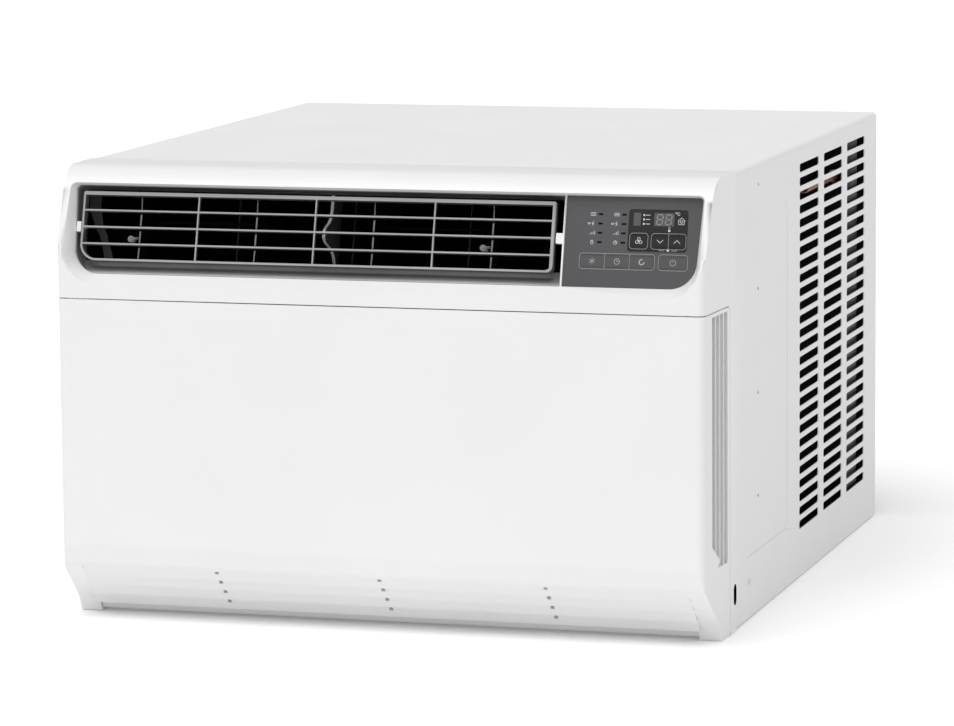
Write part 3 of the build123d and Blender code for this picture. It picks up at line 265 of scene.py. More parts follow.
finishFor = {
    "cabinet_paint": "cabinetPaint", "front_plastic": "frontPlastic", "grid_plastic": "gridPlastic",
    "duct_plastic": "ductShadeBlack", "white_clip": "clipPlastic", "panel_plastic": "panelPlastic",
    "display_gloss": "displayGloss", "lamp_lens": "lampGloss", "key_plastic": "panelPlastic",
    "board_green": "boardGreen", "switch_black": "switchBlack", "zinc_steel": "zincSteel",
    "galvanised": "galvanised", "fin_aluminium": "finAluminium", "copper": "copper",
    "black_paint": "blackPaint", "foam_white": "foamWhite", "fan_plastic": "fanPlastic",
    "mesh_nylon": "meshNylon", "grommet_rubber": "rubber", "capacitor_can": "canAluminium",
}


def makeFinish(name, look, group, metal):
    material = bpy.data.materials.new(name)
    material.use_nodes = True
    tree = material.node_tree
    shader = tree.nodes["Principled BSDF"]
    skin = addNode(tree, "ShaderNodeGroup", node_tree=group)
    skin.inputs["Colour"].default_value = (*look["colour"], 1)
    skin.inputs["Depth"].default_value = look["depth"]
    skin.inputs["Fleck"].default_value = look["fleck"]
    skin.inputs["Roughness"].default_value = look["rough"]
    if metal:
        shader.inputs["Metallic"].default_value = 1.0
        for axis, value in zip("XYZ", look["along"]):
            skin.inputs["Along " + axis].default_value = value
    else:
        skin.inputs["Scale"].default_value = look["scale"]
        if "gloss" in look:
            shader.inputs["Specular IOR Level"].default_value = look["gloss"]
        if "coat" in look:
            shader.inputs["Coat Weight"].default_value = look["coat"]
            shader.inputs["Coat Roughness"].default_value = 0.12
    tree.links.new(skin.outputs["Colour"], shader.inputs["Base Color"])
    tree.links.new(skin.outputs["Roughness"], shader.inputs["Roughness"])
    tree.links.new(skin.outputs["Normal"], shader.inputs["Normal"])
    return material


# painted shade in the outlet: grey near the rim, going to black further in, where the recess lies deeper in shade
outletShade = {"rimGrey": (0.46, 0.465, 0.47),
          "midGrey": (0.25, 0.252, 0.255), "black": (0.0028, 0.0028, 0.003), "mid": 0.26, "end": 0.78, "deep": 0.034}


def makeOutletShade():
    material = makeFinish("outletPaintedShade", finishes["ductShadeBlack"], grainGroup, False)
    tree = material.node_tree
    skin = next(node for node in tree.nodes if node.type == "GROUP")
    place = addNode(tree, "ShaderNodeTexCoord")
    away = addNode(tree, "ShaderNodeVectorMath", operation="SUBTRACT")
    away.inputs[1].default_value = rimPlace.translation
    depth = addNode(tree, "ShaderNodeVectorMath", operation="DOT_PRODUCT")
    depth.inputs[1].default_value = rimPlace.to_3x3() @ Vector((0, 0, -1))
    spread = addNode(tree, "ShaderNodeMapRange", {"From Min": 0.0, "From Max": outletShade["deep"], "To Min": 0.0, "To Max": 1.0})
    ramp = addNode(tree, "ShaderNodeValToRGB")
    stops = ramp.color_ramp.elements
    stops[0].color, stops[1].color = (*outletShade["rimGrey"], 1), (*outletShade["black"], 1)
    stops.new(outletShade["mid"]).color = (*outletShade["midGrey"], 1)
    stops.new(outletShade["end"]).color = (*outletShade["midGrey"], 1)
    tree.links.new(place.outputs["Object"], away.inputs[0])
    tree.links.new(away.outputs["Vector"], depth.inputs[0])
    tree.links.new(depth.outputs["Value"], spread.inputs["Value"])
    tree.links.new(spread.outputs["Result"], ramp.inputs["Fac"])
    tree.links.new(ramp.outputs["Color"], skin.inputs["Colour"])
    return material


# filter net: crossed threads in X and Z
weave = {"pitch": 0.0024, "thread": (0.085, 0.10, 0.125), "hole": (0.018, 0.022, 0.030), "depth": 0.5}


def makeNet():
    material = makeFinish("filterNet", finishes["meshNylon"], grainGroup, False)
    tree = material.node_tree
    skin = next(node for node in tree.nodes if node.type == "GROUP")
    shader = tree.nodes["Principled BSDF"]
    place = addNode(tree, "ShaderNodeTexCoord")
    threads = [addNode(tree, "ShaderNodeTexWave", {"Scale": 0.314 / weave["pitch"], "Distortion": 0.0}, bands_direction=axis)
               for axis in "XZ"]
    both = addNode(tree, "ShaderNodeMath", operation="MAXIMUM")
    tint = addNode(tree, "ShaderNodeMix", data_type="RGBA")
    bump = addNode(tree, "ShaderNodeBump", {"Strength": weave["depth"], "Distance": 0.0003})
    tint.inputs["A"].default_value, tint.inputs["B"].default_value = (*weave["hole"], 1), (*weave["thread"], 1)
    for k, wave in enumerate(threads):
        tree.links.new(place.outputs["Object"], wave.inputs["Vector"])
        tree.links.new(wave.outputs["Fac"], both.inputs[k])
    tree.links.new(both.outputs[0], tint.inputs["Factor"])
    tree.links.new(tint.outputs["Result"], skin.inputs["Colour"])
    tree.links.new(both.outputs[0], bump.inputs["Height"])
    tree.links.new(skin.outputs["Normal"], bump.inputs["Normal"])
    tree.links.new(bump.outputs["Normal"], shader.inputs["Normal"])
    return material


finish = {name: makeFinish(name, look, grainGroup, False) for name, look in finishes.items()}
finish["filterNet"] = makeNet()
finish["outletPaintedShade"] = makeOutletShade()
finish.update({name: makeFinish(name, look, brushGroup, True) for name, look in metals.items()})
# coil ends, fan shroud, scroll housing and partition are near black as painted shade; the outlet gets its painted shade
# ramp
finishOf = {"outlet_duct": "outletPaintedShade", "condenser_ends": "innerPaintedShade", "fan_shroud": "insideShadeBlack",
            "scroll_housing": "insideShadeBlack", "partition": "insideShadeBlack", "link_left": "ductShadeBlack", "link_right": "ductShadeBlack",
            "filter_mesh": "filterNet"}
for node, thing in frame["nodes"].items():
    thing.data.materials.clear()
    thing.data.materials.append(finish[finishOf.get(node, finishFor[slotOf[node]])])
print("finishes made:", len(finish))


# ---- making and placing pieces
def addPiece(name, bm, look, node, replaced=(), body=None, angle=35, even=False):
    mesh = bpy.data.meshes.new(name)
    bm.to_mesh(mesh)
    bm.free()
    mesh.materials.append(finish[look])
    mesh.shade_smooth()
    mesh.set_sharp_from_angle(angle=radians(angle))
    piece = bpy.data.objects.new(name, mesh)
    bpy.context.scene.collection.objects.link(piece)
    if even:  # large flat faces keep their own shading up to the bends
        normals = piece.modifiers.new("evenNormals", "WEIGHTED_NORMAL")
        normals.keep_sharp = True
        normals.weight = 80
    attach(piece, body or bodyOf[node])
    if replaced:
        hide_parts(*replaced)
    return piece


def cleanCopy(node):
    bm = bmesh.new()
    bm.from_mesh(frame["nodes"][node].data)
    bmesh.ops.remove_doubles(bm, verts=bm.verts, dist=0.00002)
    return bm


def sharpEdges(bm, angle=40):
    return [edge for edge in bm.edges if len(edge.link_faces) == 2 and edge.calc_face_angle(0) > radians(angle)]


# ---- shapes drawn flat in the opening's plane, then given a thickness
def rimBox(node):
    back = rimPlace.inverted()
    points = [back @ vertex.co for vertex in frame["nodes"][node].data.vertices]
    low = Vector([min(point[k] for point in points) for k in range(3)])
    high = Vector([max(point[k] for point in points) for k in range(3)])
    return low, high


def flatBox(bm, low, high, corner=0.0, line=0.0):
    before = set(bm.faces)
    made = bmesh.ops.create_grid(bm, x_segments=1, y_segments=1, size=0.5)
    size = (high[0] - low[0], high[1] - low[1], 1)
    middle = ((low[0] + high[0]) / 2, (low[1] + high[1]) / 2, 0)
    bmesh.ops.scale(bm, verts=made["verts"], vec=size)
    bmesh.ops.translate(bm, verts=made["verts"], vec=middle)
    if corner:
        bmesh.ops.bevel(bm, geom=made["verts"], offset=corner, affect="VERTICES", segments=5, profile=0.5, material=-1)
    if line:  # keep only the outline
        inner = [face for face in bm.faces if face not in before]
        bmesh.ops.inset_region(bm, faces=inner, thickness=line, use_even_offset=True, use_boundary=True)
        bmesh.ops.delete(bm, geom=inner, context="FACES")


def flatBar(bm, start, end, width):
    start, end = Vector(start), Vector(end)
    run = end - start
    made = bmesh.ops.create_grid(bm, x_segments=1, y_segments=1, size=0.5)
    turn = Matrix.Translation(((start + end) / 2).to_3d()) @ Matrix.Rotation(atan2(run.y, run.x), 4, "Z")
    bmesh.ops.transform(bm, verts=made["verts"], matrix=turn @ Matrix.Diagonal((run.length + width * 0.6, width, 1, 1)))


def flatRing(bm, centre, radius, line=0.0, gap=None):
    made = bmesh.ops.create_circle(bm, cap_ends=True, cap_tris=False, segments=28, radius=radius)
    bmesh.ops.translate(bm, verts=made["verts"], vec=(centre[0], centre[1], 0))
    disc = [face for face in made["verts"][0].link_faces]
    if line:
        bmesh.ops.inset_region(bm, faces=disc, thickness=line, use_even_offset=True, use_boundary=True)
        rim = {face for vert in made["verts"] for face in vert.link_faces}
        bmesh.ops.delete(bm, geom=disc, context="FACES")
        if gap:  # leave the ring open between two angles
            lost = []
            for face in (face for face in rim if face.is_valid):
                place = face.calc_center_median() - Vector((centre[0], centre[1], 0))
                if gap[0] < (atan2(place.y, place.x) % (2 * pi)) < gap[1]:
                    lost.append(face)
            bmesh.ops.delete(bm, geom=lost, context="FACES")


def printPiece(name, draw, look, node, base):
    bm = bmesh.new()
    draw(bm)
    bmesh.ops.recalc_face_normals(bm, faces=bm.faces)
    bmesh.ops.solidify(bm, geom=bm.faces[:], thickness=panelPrint["thick"])
    bmesh.ops.recalc_face_normals(bm, faces=bm.faces)
    low = min(vert.co.z for vert in bm.verts)
    bmesh.ops.translate(bm, verts=bm.verts, vec=(0, 0, base - low))
    bmesh.ops.transform(bm, verts=bm.verts, matrix=rimPlace)
    return addPiece(name, bm, look, node)


# ---- control panel's print, thin and slightly raised
panelPrint = {"line": 0.00030, "keyCorner": 0.0034, "gap": 0.0009, "thick": 0.00010}
mm = 0.001
panelTop = rimBox("control_panel")[1].z
glassTop = rimBox("display_window")[1].z
keyBox = {name: rimBox("key_" + name) for name in ("mode", "timer", "sleep", "power", "fan", "cooler", "warmer")}


def middleOf(name):
    low, high = keyBox[name]
    return (low.x + high.x) / 2, (low.y + high.y) / 2


def outlineRound(bm, names):
    gap = panelPrint["gap"]
    low = (keyBox[names[0]][0].x - gap, keyBox[names[0]][0].y - gap)
    high = (keyBox[names[-1]][1].x + gap, keyBox[names[-1]][1].y + gap)
    flatBox(bm, low, high, panelPrint["keyCorner"], panelPrint["line"])


def divider(bm, left, right):
    u = (keyBox[left][1].x + keyBox[right][0].x) / 2
    flatBar(bm, (u, keyBox[left][0].y - 0.0004), (u, keyBox[left][1].y + 0.0004), panelPrint["line"])


def drawLowerFrames(bm):
    outlineRound(bm, ["mode", "timer", "sleep"])
    outlineRound(bm, ["power"])
    divider(bm, "mode", "timer")
    divider(bm, "timer", "sleep")


def drawUpperFrames(bm):
    outlineRound(bm, ["fan"])
    outlineRound(bm, ["cooler", "warmer"])
    divider(bm, "cooler", "warmer")


def onKey(name, draw):
    printPiece(name + "KeyMark", draw, "printGrey" if name in ("mode", "timer", "sleep", "power") else "printWhite",
               "key_" + name, keyBox[name][1].z)


def clockMark(bm, centre, radius, line):
    u, v = centre
    flatRing(bm, centre, radius, line)
    flatBar(bm, (u, v), (u, v + radius * 0.6), line)
    flatBar(bm, (u, v), (u + radius * 0.45, v), line)


def drawMode(bm):
    u, v = middleOf("mode")
    for turn in range(3):
        a = radians(90 + 60 * turn)
        reach = Vector((cos(a), sin(a))) * 3.2 * mm
        flatBar(bm, Vector((u, v)) - reach, Vector((u, v)) + reach, 0.45 * mm)


def drawTimer(bm):
    clockMark(bm, middleOf("timer"), 2.9 * mm, 0.5 * mm)


def drawSleep(bm):
    flatRing(bm, middleOf("sleep"), 2.9 * mm, 1.0 * mm, (radians(-1), radians(75)))


def drawPower(bm):
    u, v = middleOf("power")
    flatRing(bm, (u, v), 3.1 * mm, 0.5 * mm, (radians(65), radians(115)))
    flatBar(bm, (u, v + 0.6 * mm), (u, v + 3.2 * mm), 0.5 * mm)


def drawFan(bm):
    u, v = middleOf("fan")
    for turn in range(3):
        a = radians(90 + 120 * turn)
        flatRing(bm, (u + cos(a) * 2.1 * mm, v + sin(a) * 2.1 * mm), 1.6 * mm, 0.45 * mm)
    flatRing(bm, (u, v), 0.6 * mm)


def chevron(bm, centre, rise):
    u, v = centre
    for side in (-1, 1):
        flatBar(bm, (u, v + rise * mm), (u + side * 2.9 * mm, v - rise * mm), 0.55 * mm)


onKey("mode", drawMode)
onKey("timer", drawTimer)
onKey("sleep", drawSleep)
onKey("power", drawPower)
onKey("fan", drawFan)
onKey("cooler", lambda bm: chevron(bm, middleOf("cooler"), -1.4))
onKey("warmer", lambda bm: chevron(bm, middleOf("warmer"), 1.4))
printPiece("lowerKeyFrames", drawLowerFrames, "printGrey", "control_panel", panelTop)
printPiece("upperKeyFrames", drawUpperFrames, "printGrey", "display_window", glassTop)

# lamp marks: a small sign to the left of each lamp
lampColumns = {"left": 217.0, "right": 240.0}
lampRows = [70.5, 61.5, 52.6, 43.6]


def drawLampMarks(bm):
    line = 0.42 * mm
    for column, lampU in enumerate(lampColumns.values()):
        for row, lampV in enumerate(lampRows):
            u, v = (lampU - 7.4) * mm, lampV * mm
            kind = column * 4 + row
            if kind in (0, 4):
                for k in (-1, 0, 1):
                    flatBar(bm, (u - 2.6 * mm, v + k * 1.3 * mm), (u + 2.6 * mm, v + k * 1.3 * mm), line)
            elif kind in (1, 5):
                flatBar(bm, (u + 0.7 * mm, v + 2.1 * mm), (u - 1.1 * mm, v), line)
                flatBar(bm, (u - 1.1 * mm, v), (u + 1.1 * mm, v), line)
                flatBar(bm, (u + 1.1 * mm, v), (u - 0.7 * mm, v - 2.1 * mm), line)
                flatBox(bm, (u - 5.0 * mm, v - 0.8 * mm), (u - 2.6 * mm, v + 0.8 * mm), 0, line)
            elif kind in (2, 6):
                for k in range(4):
                    barU = u + (k - 1.5) * 1.5 * mm
                    flatBar(bm, (barU, v - 1.6 * mm), (barU, v + (k - 0.9) * 0.9 * mm), line)
            elif kind == 3:
                flatRing(bm, (u, v - 0.5 * mm), 1.5 * mm, line)
                flatBar(bm, (u - 1.1 * mm, v + 0.6 * mm), (u, v + 2.2 * mm), line)
                flatBar(bm, (u + 1.1 * mm, v + 0.6 * mm), (u, v + 2.2 * mm), line)
            else:
                clockMark(bm, (u, v), 1.9 * mm, line)


printPiece("lampMarks", drawLampMarks, "printWhite", "control_panel", panelTop)

# display: bar window, two digits, degree sign, small signs
display = {"bar": (249.3, 60.2, 256.3, 72.7), "digits": (269.4, 60.2, 288.9, 72.9),
           "digitTall": 9.4, "digitWide": 5.4, "digitSlant": 0.10, "segment": 1.05,
           "degree": (290.4, 73.3), "house": (296.0, 65.2), "marks": (258.6, (70.6, 66.4, 62.1)),
           "thermometer": (284.6, 57.0)}
bracket = {"middle": 284.4, "outer": 8.6, "inner": 3.4, "high": 38.3, "low": 36.9, "line": 0.3}


def drawWindows(bm):
    for name in ("bar", "digits"):
        u0, v0, u1, v1 = (value * mm for value in display[name])
        flatBox(bm, (u0, v0), (u1, v1), 0.4 * mm)


def drawDigits(bm):
    u0, v0, u1, v1 = display["digits"]
    tall, wide, thick = display["digitTall"], display["digitWide"], display["segment"]
    for k in (-1, 1):
        u, v = (u0 + u1) / 2 + k * 4.3, (v0 + v1) / 2
        for row in (-1, 0, 1):
            lean = row * tall / 2 * display["digitSlant"]
            barV = (v + row * tall / 2) * mm
            flatBar(bm, ((u - wide / 2 + 1.0 + lean) * mm, barV), ((u + wide / 2 - 1.0 + lean) * mm, barV), thick * mm)
        for side in (-1, 1):
            for half in (-1, 1):
                low, high = (0.9, tall / 2 - 0.8)
                flatBar(bm, ((u + side * wide / 2 + half * low * display["digitSlant"]) * mm, (v + half * low) * mm),
                        ((u + side * wide / 2 + half * high * display["digitSlant"]) * mm, (v + half * high) * mm), thick * mm)


def drawDisplaySigns(bm):
    line = 0.45 * mm
    u, v = (value * mm for value in display["degree"])
    flatRing(bm, (u, v), 0.75 * mm, 0.35 * mm)
    flatRing(bm, (u + 2.5 * mm, v - 1.0 * mm), 1.5 * mm, line, (radians(-1), radians(42)))
    u, v = (value * mm for value in display["house"])
    for side in (-1, 1):
        flatBar(bm, (u, v + 3.4 * mm), (u + side * 3.6 * mm, v + 0.3 * mm), line)
        flatBar(bm, (u + side * 2.7 * mm, v + 0.3 * mm), (u + side * 2.7 * mm, v - 3.0 * mm), line)
    flatBar(bm, (u - 2.7 * mm, v - 3.0 * mm), (u + 2.7 * mm, v - 3.0 * mm), line)
    flatRing(bm, (u, v - 0.4 * mm), 1.5 * mm, line)
    left, rows = display["marks"]
    for v in rows:
        flatBox(bm, (left * mm, (v - 0.9) * mm), ((left + 1.6) * mm, (v + 0.9) * mm), 0.3 * mm)
        flatBar(bm, ((left + 2.8) * mm, v * mm), ((left + 6.6) * mm, v * mm), 0.6 * mm)
    u, v = (value * mm for value in display["thermometer"])  # over the two temperature keys
    flatRing(bm, (u, v - 1.1 * mm), 1.1 * mm)
    flatBox(bm, (u - 0.75 * mm, v - 0.6 * mm), (u + 0.75 * mm, v + 2.6 * mm), 0.6 * mm, 0.3 * mm)
    for side in (-1, 1):  # bracket under them
        outerU = (bracket["middle"] + side * bracket["outer"]) * mm
        innerU = (bracket["middle"] + side * bracket["inner"]) * mm
        flatBar(bm, (outerU, bracket["high"] * mm), (outerU, bracket["low"] * mm), bracket["line"] * mm)
        flatBar(bm, (outerU, bracket["low"] * mm), (innerU, bracket["low"] * mm), bracket["line"] * mm)
    flatBox(bm, (283.2 * mm, 36.2 * mm), (285.6 * mm, 37.8 * mm), 0.3 * mm)


printPiece("displayWindows", drawWindows, "windowGrey", "display_window", glassTop)
printPiece("displayDigits", drawDigits, "digitGrey", "display_window", glassTop + panelPrint["thick"])
printPiece("displaySigns", drawDisplaySigns, "printWhite", "display_window", glassTop)
print("control panel printed")


# ---- pieces whose front edge or inner face has its own finish
def twoTone(name, node, look, second, chosen, angle=35, even=False):
    bm = cleanCopy(node)
    bm.normal_update()
    for face in bm.faces:
        if chosen(face.calc_center_median(), face.normal):
            face.material_index = 1
    piece = addPiece(name, bm, look, node, [node], angle=angle, even=even)
    piece.data.materials.append(finish[second])
    return piece


outward = rimPlace.to_3x3() @ Vector((0, 0, 1))
toRim = rimPlace.inverted()
gridLow, gridHigh = rimBox("louvre_grid")
# painted highlight: the vanes' front edges between the grid's bottom and top get light grey, and their tabs take the
# same grey
vaneHighlight = {"front": -0.0282, "tabSide": 0.0030, "low": gridLow.y + 0.005, "high": gridHigh.y - 0.004}


for number in range(1, 5):
    low, high = rimBox("vane_%d" % number)
    bladeU = high.x - 0.0020

    def vaneHighlightFaces(middle, normal):
        place = toRim @ middle
        seen = vaneHighlight["low"] < place.y < vaneHighlight["high"]
        return (place.z > vaneHighlight["front"] and seen) or place.x < bladeU - vaneHighlight["tabSide"]

    twoTone("vaneBlade%d" % number, "vane_%d" % number, "ductShadeBlack", "vanePaintedHighlight", vaneHighlightFaces)
# painted highlight: faces of the centre post facing out of the opening are light
twoTone("postNose", "centre_post", "guideGrey", "postPaintedHighlight", lambda middle, normal: normal.dot(outward) > 0.15)

# painted shade: faces of the grid bars not facing out of the opening are darker
twoTone("gridBars", "louvre_grid", "gridPlastic", "gridPaintedShade", lambda middle, normal: normal.dot(outward) < 0.25)

# painted shade: the lead's slot in the front's right-hand wall is painted dark all through, as it lies in shade
leadSlot = {"low": (0.300, 0.0265), "high": (0.3292, 0.0475), "back": 0.013}


def inLeadSlot(middle, normal):
    inside = leadSlot["low"][0] < middle.x < leadSlot["high"][0] and leadSlot["low"][1] < middle.z < leadSlot["high"][1]
    return inside and abs(middle.y - edgeY) < leadSlot["back"] and normal.x < 0.9


twoTone("frontShell", "front_frame", "frontPlastic", "innerPaintedShade", inLeadSlot, angle=30, even=True)

shell = {"low": cabinetLow, "high": cabinetHigh, "sheet": 0.0012, "near": 0.012}


def insideCabinet(middle, normal):
    low, high, sheet = shell["low"], shell["high"], shell["sheet"]
    gaps = {0: (middle.x - low.x, high.x - middle.x), 1: (1, high.y - middle.y), 2: (middle.z - low.z, high.z - middle.z)}
    for axis, (near, far) in gaps.items():
        if near < shell["near"] and near > sheet * 0.5 and normal[axis] > 0.35:
            return True
        if far < shell["near"] and far > sheet * 0.5 and normal[axis] < -0.35:
            return True
    return False


# painted shade on the cabinet's inner faces, so the slots look black inside
twoTone("cabinetShell", "cabinet", "cabinetPaint", "innerPaintedShade", insideCabinet, angle=20, even=True)
print("two-tone pieces made")

# ---- inside the outlet: curved guide at the left, three fixed ribs behind the vanes
guideBand = {"line": [(-307, 88), (-307, 70), (-302, 54), (-295, 38), (-290, 24), (-284, 9)], "wide": [14, 13, 10, 8.5, 9.5, 11],
             "depth": -29.5, "low": 9, "tall": 79, "thick": 0.8}  # behind the reach of the tilting grid
guideRibs = {"across": (-166.4, -47.0, 71.3), "low": 14.0, "high": 88.0, "depth": -62.0, "thick": 0.7, "deep": 6.0}


def follow(table, values, v):
    rows = sorted(zip((row[1] for row in table), values))
    for (v0, a), (v1, b) in zip(rows, rows[1:]):
        if v <= v1:
            t = max(0.0, (v - v0) / (v1 - v0))
            t = t * t * (3 - 2 * t) if abs(b - a) > 5 else t
            return a + (b - a) * t
    return rows[-1][1]


def makeGuideBand():
    bm = bmesh.new()
    bmesh.ops.create_grid(bm, x_segments=1, y_segments=30, size=0.5)
    line = guideBand["line"]
    for vert in bm.verts:
        v = guideBand["low"] + (vert.co.y + 0.5) * guideBand["tall"]
        middle, wide = follow(line, [point[0] for point in line], v), follow(line, guideBand["wide"], v)
        vert.co = Vector((middle + vert.co.x * wide, v, guideBand["depth"] + vert.co.x * 3)) * mm
    bmesh.ops.recalc_face_normals(bm, faces=bm.faces)
    bmesh.ops.solidify(bm, geom=bm.faces[:], thickness=guideBand["thick"] * mm)
    bmesh.ops.recalc_face_normals(bm, faces=bm.faces)
    bmesh.ops.transform(bm, verts=bm.verts, matrix=rimPlace)
    addPiece("guideBand", bm, "guideGrey", "outlet_duct")


def makeGuideRibs():
    bm = bmesh.new()
    for u in guideRibs["across"]:
        made = bmesh.ops.create_cube(bm, size=1)
        tall = guideRibs["high"] - guideRibs["low"]
        place = Matrix.Translation(Vector((u, guideRibs["low"] + tall / 2, guideRibs["depth"])) * mm)
        size = (guideRibs["thick"] * mm, tall * mm, guideRibs["deep"] * mm, 1)
        bmesh.ops.transform(bm, verts=made["verts"], matrix=place @ Matrix.Diagonal(size))
    bmesh.ops.bevel(bm, geom=bm.edges, offset=0.00015, affect="EDGES", segments=2, profile=0.5, material=-1)
    bmesh.ops.transform(bm, verts=bm.verts, matrix=rimPlace)
    addPiece("guideRibs", bm, "guideGrey", "outlet_duct")


# trough below the swinging grid, from the rim up and back to the vanes
trough = {"profile": [(-0.8, 0.4), (-4, 1.2), (-9, 3.6), (-15, 7.6), (-21, 12.2), (-26.5, 16.2)],  # w, v
          "left": -315.4, "right": 180.6, "corner": 26, "thick": 0.8}


def makeTrough():
    bm = bmesh.new()
    rows = trough["profile"]
    bmesh.ops.create_grid(bm, x_segments=1, y_segments=len(rows) - 1, size=0.5)
    for vert in bm.verts:
        w, v = rows[round((vert.co.y + 0.5) * (len(rows) - 1))]
        corner = trough["corner"]
        cut = corner - (corner ** 2 - (corner - min(v, corner)) ** 2) ** 0.5  # where the rounded corner is at this height
        vert.co = Vector((trough["right"] if vert.co.x > 0 else trough["left"] + cut, v, w)) * mm
    bmesh.ops.recalc_face_normals(bm, faces=bm.faces)
    bmesh.ops.solidify(bm, geom=bm.faces[:], thickness=trough["thick"] * mm)
    bmesh.ops.recalc_face_normals(bm, faces=bm.faces)
    bmesh.ops.transform(bm, verts=bm.verts, matrix=rimPlace)
    # the trough takes the outlet's painted shade, darker the deeper it lies
    addPiece("outletTrough", bm, "outletPaintedShade", "outlet_duct")


makeGuideBand()
makeGuideRibs()
makeTrough()
print("outlet guides made")

# ---- painted shadow marks at the rib ends between the slats, where the slats' edges shade them
ribShadowMarks = {"across": (-0.167, 0.0, 0.167), "first": (0.0072, 0.0545), "step": (0.0123, 0.0117), "rows": 4,
           "size": (0.0042, 0.0030, 0.0030), "lean": -43, "foot": 0.3}


def makeRibShadowMarks():
    bm = bmesh.new()
    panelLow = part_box("intake_panel")[0]
    for u in ribShadowMarks["across"]:
        for row in range(ribShadowMarks["rows"]):
            made = bmesh.ops.create_cube(bm, size=1)
            y = panelLow.y + ribShadowMarks["first"][0] + row * ribShadowMarks["step"][0]
            z = ribShadowMarks["first"][1] - row * ribShadowMarks["step"][1]
            point = [vert for vert in made["verts"] if vert.co.z < 0 and vert.co.y < 0]
            bmesh.ops.scale(bm, verts=point, vec=(ribShadowMarks["foot"], 1, 1))  # narrower at the foot
            place = Matrix.Translation((u, y, z)) @ Matrix.Rotation(radians(ribShadowMarks["lean"]), 4, "X")
            bmesh.ops.transform(bm, verts=made["verts"], matrix=place @ Matrix.Diagonal((*ribShadowMarks["size"], 1)))
    bmesh.ops.bevel(bm, geom=bm.edges, offset=0.0004, affect="EDGES", segments=2, profile=0.5, material=-1)
    addPiece("ribShadowMarks", bm, "ribPaintedShadow", "intake_panel")


makeRibShadowMarks()

# ---- coils: close-set fins between the ones that carry the tubes
finPack = {"pitch": 0.0021, "thick": 0.00016, "inset": 0.0006}


def makeFinPack(name, node):
    low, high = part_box(node)
    bm = bmesh.new()
    count = int((high.x - low.x) / finPack["pitch"])
    inset = finPack["inset"]
    size = (finPack["thick"], high.y - low.y - 2 * inset, high.z - low.z - 2 * inset)
    for k in range(count):
        made = bmesh.ops.create_cube(bm, size=1)
        place = Matrix.Translation((low.x + (k + 0.5) * finPack["pitch"], (low.y + high.y) / 2, (low.z + high.z) / 2))
        bmesh.ops.transform(bm, verts=made["verts"], matrix=place @ Matrix.Diagonal((*size, 1)))
    addPiece(name, bm, "finAluminium", node)


# foam strips that close the gap beside the rear coil
coilSeal = {"out": 0.3246, "deep": 0.0045, "gap": 0.0010, "low": 0.0270, "round": 0.0010}


def makeCoilSeals():
    low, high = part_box("condenser_ends")
    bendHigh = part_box("condenser_bends")[1]
    bm = bmesh.new()
    for side in (-1, 1):
        made = bmesh.ops.create_cube(bm, size=1)
        wide = coilSeal["out"] - high.x - coilSeal["gap"]
        tall = high.z - coilSeal["low"]
        y = bendHigh.y + coilSeal["gap"] + coilSeal["deep"] / 2
        place = Matrix.Translation((side * (coilSeal["out"] - wide / 2), y, coilSeal["low"] + tall / 2))
        bmesh.ops.transform(bm, verts=made["verts"], matrix=place @ Matrix.Diagonal((wide, coilSeal["deep"], tall, 1)))
    bmesh.ops.bevel(bm, geom=bm.edges, offset=coilSeal["round"], affect="EDGES", segments=3, profile=0.5, material=-1)
    addPiece("coilSideSeals", bm, "rubber", "condenser_ends")


makeCoilSeals()
makeFinPack("condenserFinPack", "condenser_fins")
makeFinPack("evaporatorFinPack", "evaporator_fins")
print("coils filled with fins")


# ---- screw heads: a black cross on each, painted shade for the cross recess
screwRecessShade = {"arm": 0.0030, "wide": 0.0007, "proud": 0.00006, "apart": 0.012, "turn": 20}


def crossRecessShade(name, node, axis):
    bm = bmesh.new()
    source = cleanCopy(node)
    seen = []
    for face in source.faces:  # one place for each head
        if abs(face.normal[axis]) > 0.99:
            seen.append((face.calc_center_median(), face.normal.copy()))
    source.free()
    places = {}
    for middle, normal in seen:
        key = tuple(round(middle[k] / screwRecessShade["apart"]) for k in range(3) if k != axis) + (normal[axis] > 0,)
        places.setdefault(key, []).append((middle, normal))
    for group in places.values():
        normal = group[0][1]
        way = 1 if normal[axis] > 0 else -1
        outer = max(middle[axis] * way for middle, _ in group) * way
        top = [middle for middle, _ in group if abs(middle[axis] - outer) < 0.0001]
        centre = sum(top, Vector()) / len(top)
        for turn in (0, 90):
            made = bmesh.ops.create_cube(bm, size=1)
            spin = normal.to_track_quat("Z", "Y").to_matrix().to_4x4() @ Matrix.Rotation(radians(turn + screwRecessShade["turn"]), 4, "Z")
            size = (screwRecessShade["arm"], screwRecessShade["wide"], screwRecessShade["proud"] * 2, 1)
            bmesh.ops.transform(bm, verts=made["verts"], matrix=Matrix.Translation(centre) @ spin @ Matrix.Diagonal(size))
    addPiece(name, bm, "switchBlack", node)


crossRecessShade("frameScrewRecessShade", "frame_screws", 1)

# ---- power board: parts standing on it
boardParts = {"chips": [(0.25, 0.30, 0.014, 0.020, 0.0028), (0.70, 0.55, 0.012, 0.012, 0.0024),
                        (0.35, 0.72, 0.016, 0.008, 0.0030)],
              "cans": [(0.72, 0.20, 0.0060, 0.018), (0.45, 0.12, 0.0045, 0.014), (0.78, 0.82, 0.0050, 0.016)],
              "sheet": 0.0016}


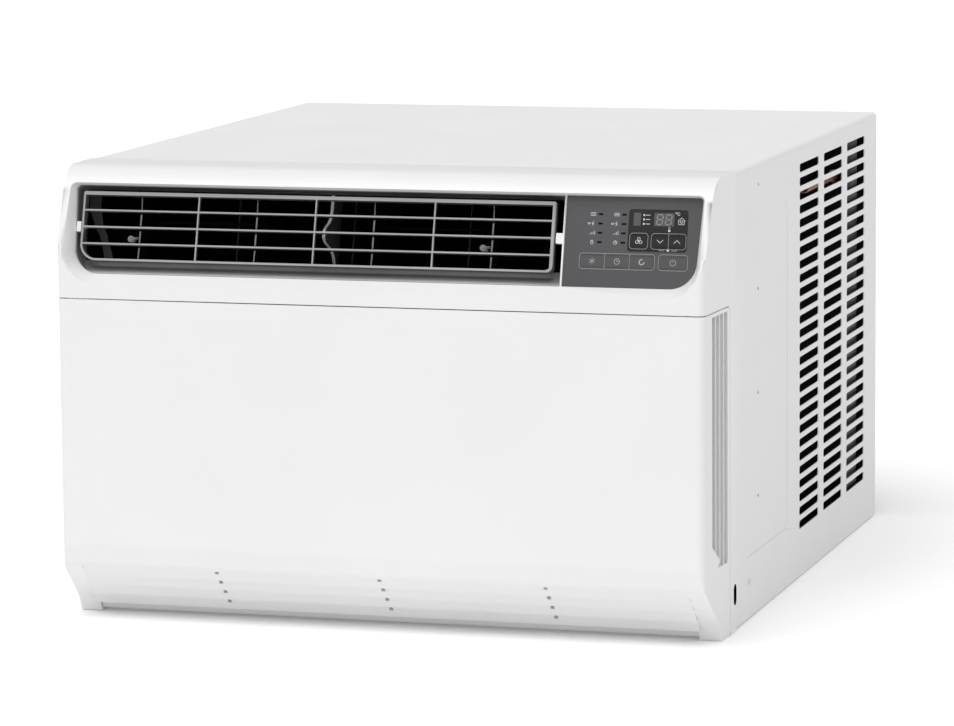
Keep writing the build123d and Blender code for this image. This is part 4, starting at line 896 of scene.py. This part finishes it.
def makeBoardParts():
    low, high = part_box("power_board")
    base = low.z + boardParts["sheet"]
    bm = bmesh.new()
    for across, along, wide, deep, tall in boardParts["chips"]:
        made = bmesh.ops.create_cube(bm, size=1)
        place = Matrix.Translation((low.x + (high.x - low.x) * across, low.y + (high.y - low.y) * along, base + tall / 2))
        bmesh.ops.transform(bm, verts=made["verts"], matrix=place @ Matrix.Diagonal((wide, deep, tall, 1)))
    bmesh.ops.bevel(bm, geom=bm.edges, offset=0.0003, affect="EDGES", segments=2, profile=0.5, material=-1)
    addPiece("boardChips", bm, "switchBlack", "power_board")
    bm = bmesh.new()
    for across, along, radius, tall in boardParts["cans"]:
        made = bmesh.ops.create_cone(bm, cap_ends=True, segments=28, radius1=radius, radius2=radius, depth=tall)
        foot = (low.x + (high.x - low.x) * across, low.y + (high.y - low.y) * along, base + tall / 2)
        bmesh.ops.translate(bm, verts=made["verts"], vec=foot)
    bmesh.ops.bevel(bm, geom=sharpEdges(bm, 60), offset=0.0007, affect="EDGES", segments=3, profile=0.5, material=-1)
    addPiece("boardCans", bm, "canAluminium", "power_board")


makeBoardParts()

# ---- accumulator's weld seams and the motor's end bands, each turned about its own axis
turned = {"weldRound": 0.0016, "bandRound": 0.0014, "seams": (0.22, 0.80), "bands": (0.30, 0.62)}


def spunRing(name, centre, radius, bead, axis, node, look):
    bm = bmesh.new()
    side = Vector((1, 0, 0))
    made = bmesh.ops.create_circle(bm, cap_ends=False, segments=10, radius=bead)
    face = Matrix.Rotation(radians(90), 4, "X") if axis.z else Matrix.Identity(4)
    bmesh.ops.transform(bm, verts=made["verts"], matrix=Matrix.Translation(centre + side * radius) @ face)
    bmesh.ops.spin(bm, geom=bm.verts[:] + bm.edges[:], cent=centre, axis=axis, angle=2 * pi, steps=72,
                   use_merge=True, use_duplicate=False)
    bmesh.ops.remove_doubles(bm, verts=bm.verts, dist=0.00001)
    bmesh.ops.recalc_face_normals(bm, faces=bm.faces)
    addPiece(name, bm, look, node)


low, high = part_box("accumulator")
accumulatorR = (high.x - low.x) / 2
for share in turned["seams"]:
    centre = Vector(((low.x + high.x) / 2, (low.y + high.y) / 2, low.z + (high.z - low.z) * share))
    spunRing("accumulatorSeam%d" % round(share * 100), centre, accumulatorR,
             turned["weldRound"], Vector((0, 0, 1)), "accumulator", "blackPaint")
low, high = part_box("fan_motor")
motorR = (high.x - low.x) / 2
for share in turned["bands"]:
    centre = Vector(((low.x + high.x) / 2, low.y + (high.y - low.y) * share, (low.z + high.z) / 2))
    spunRing("motorBand%d" % round(share * 100), centre, motorR,
             turned["bandRound"], Vector((0, 1, 0)), "fan_motor", "zincSteel")
print("inside pieces made")
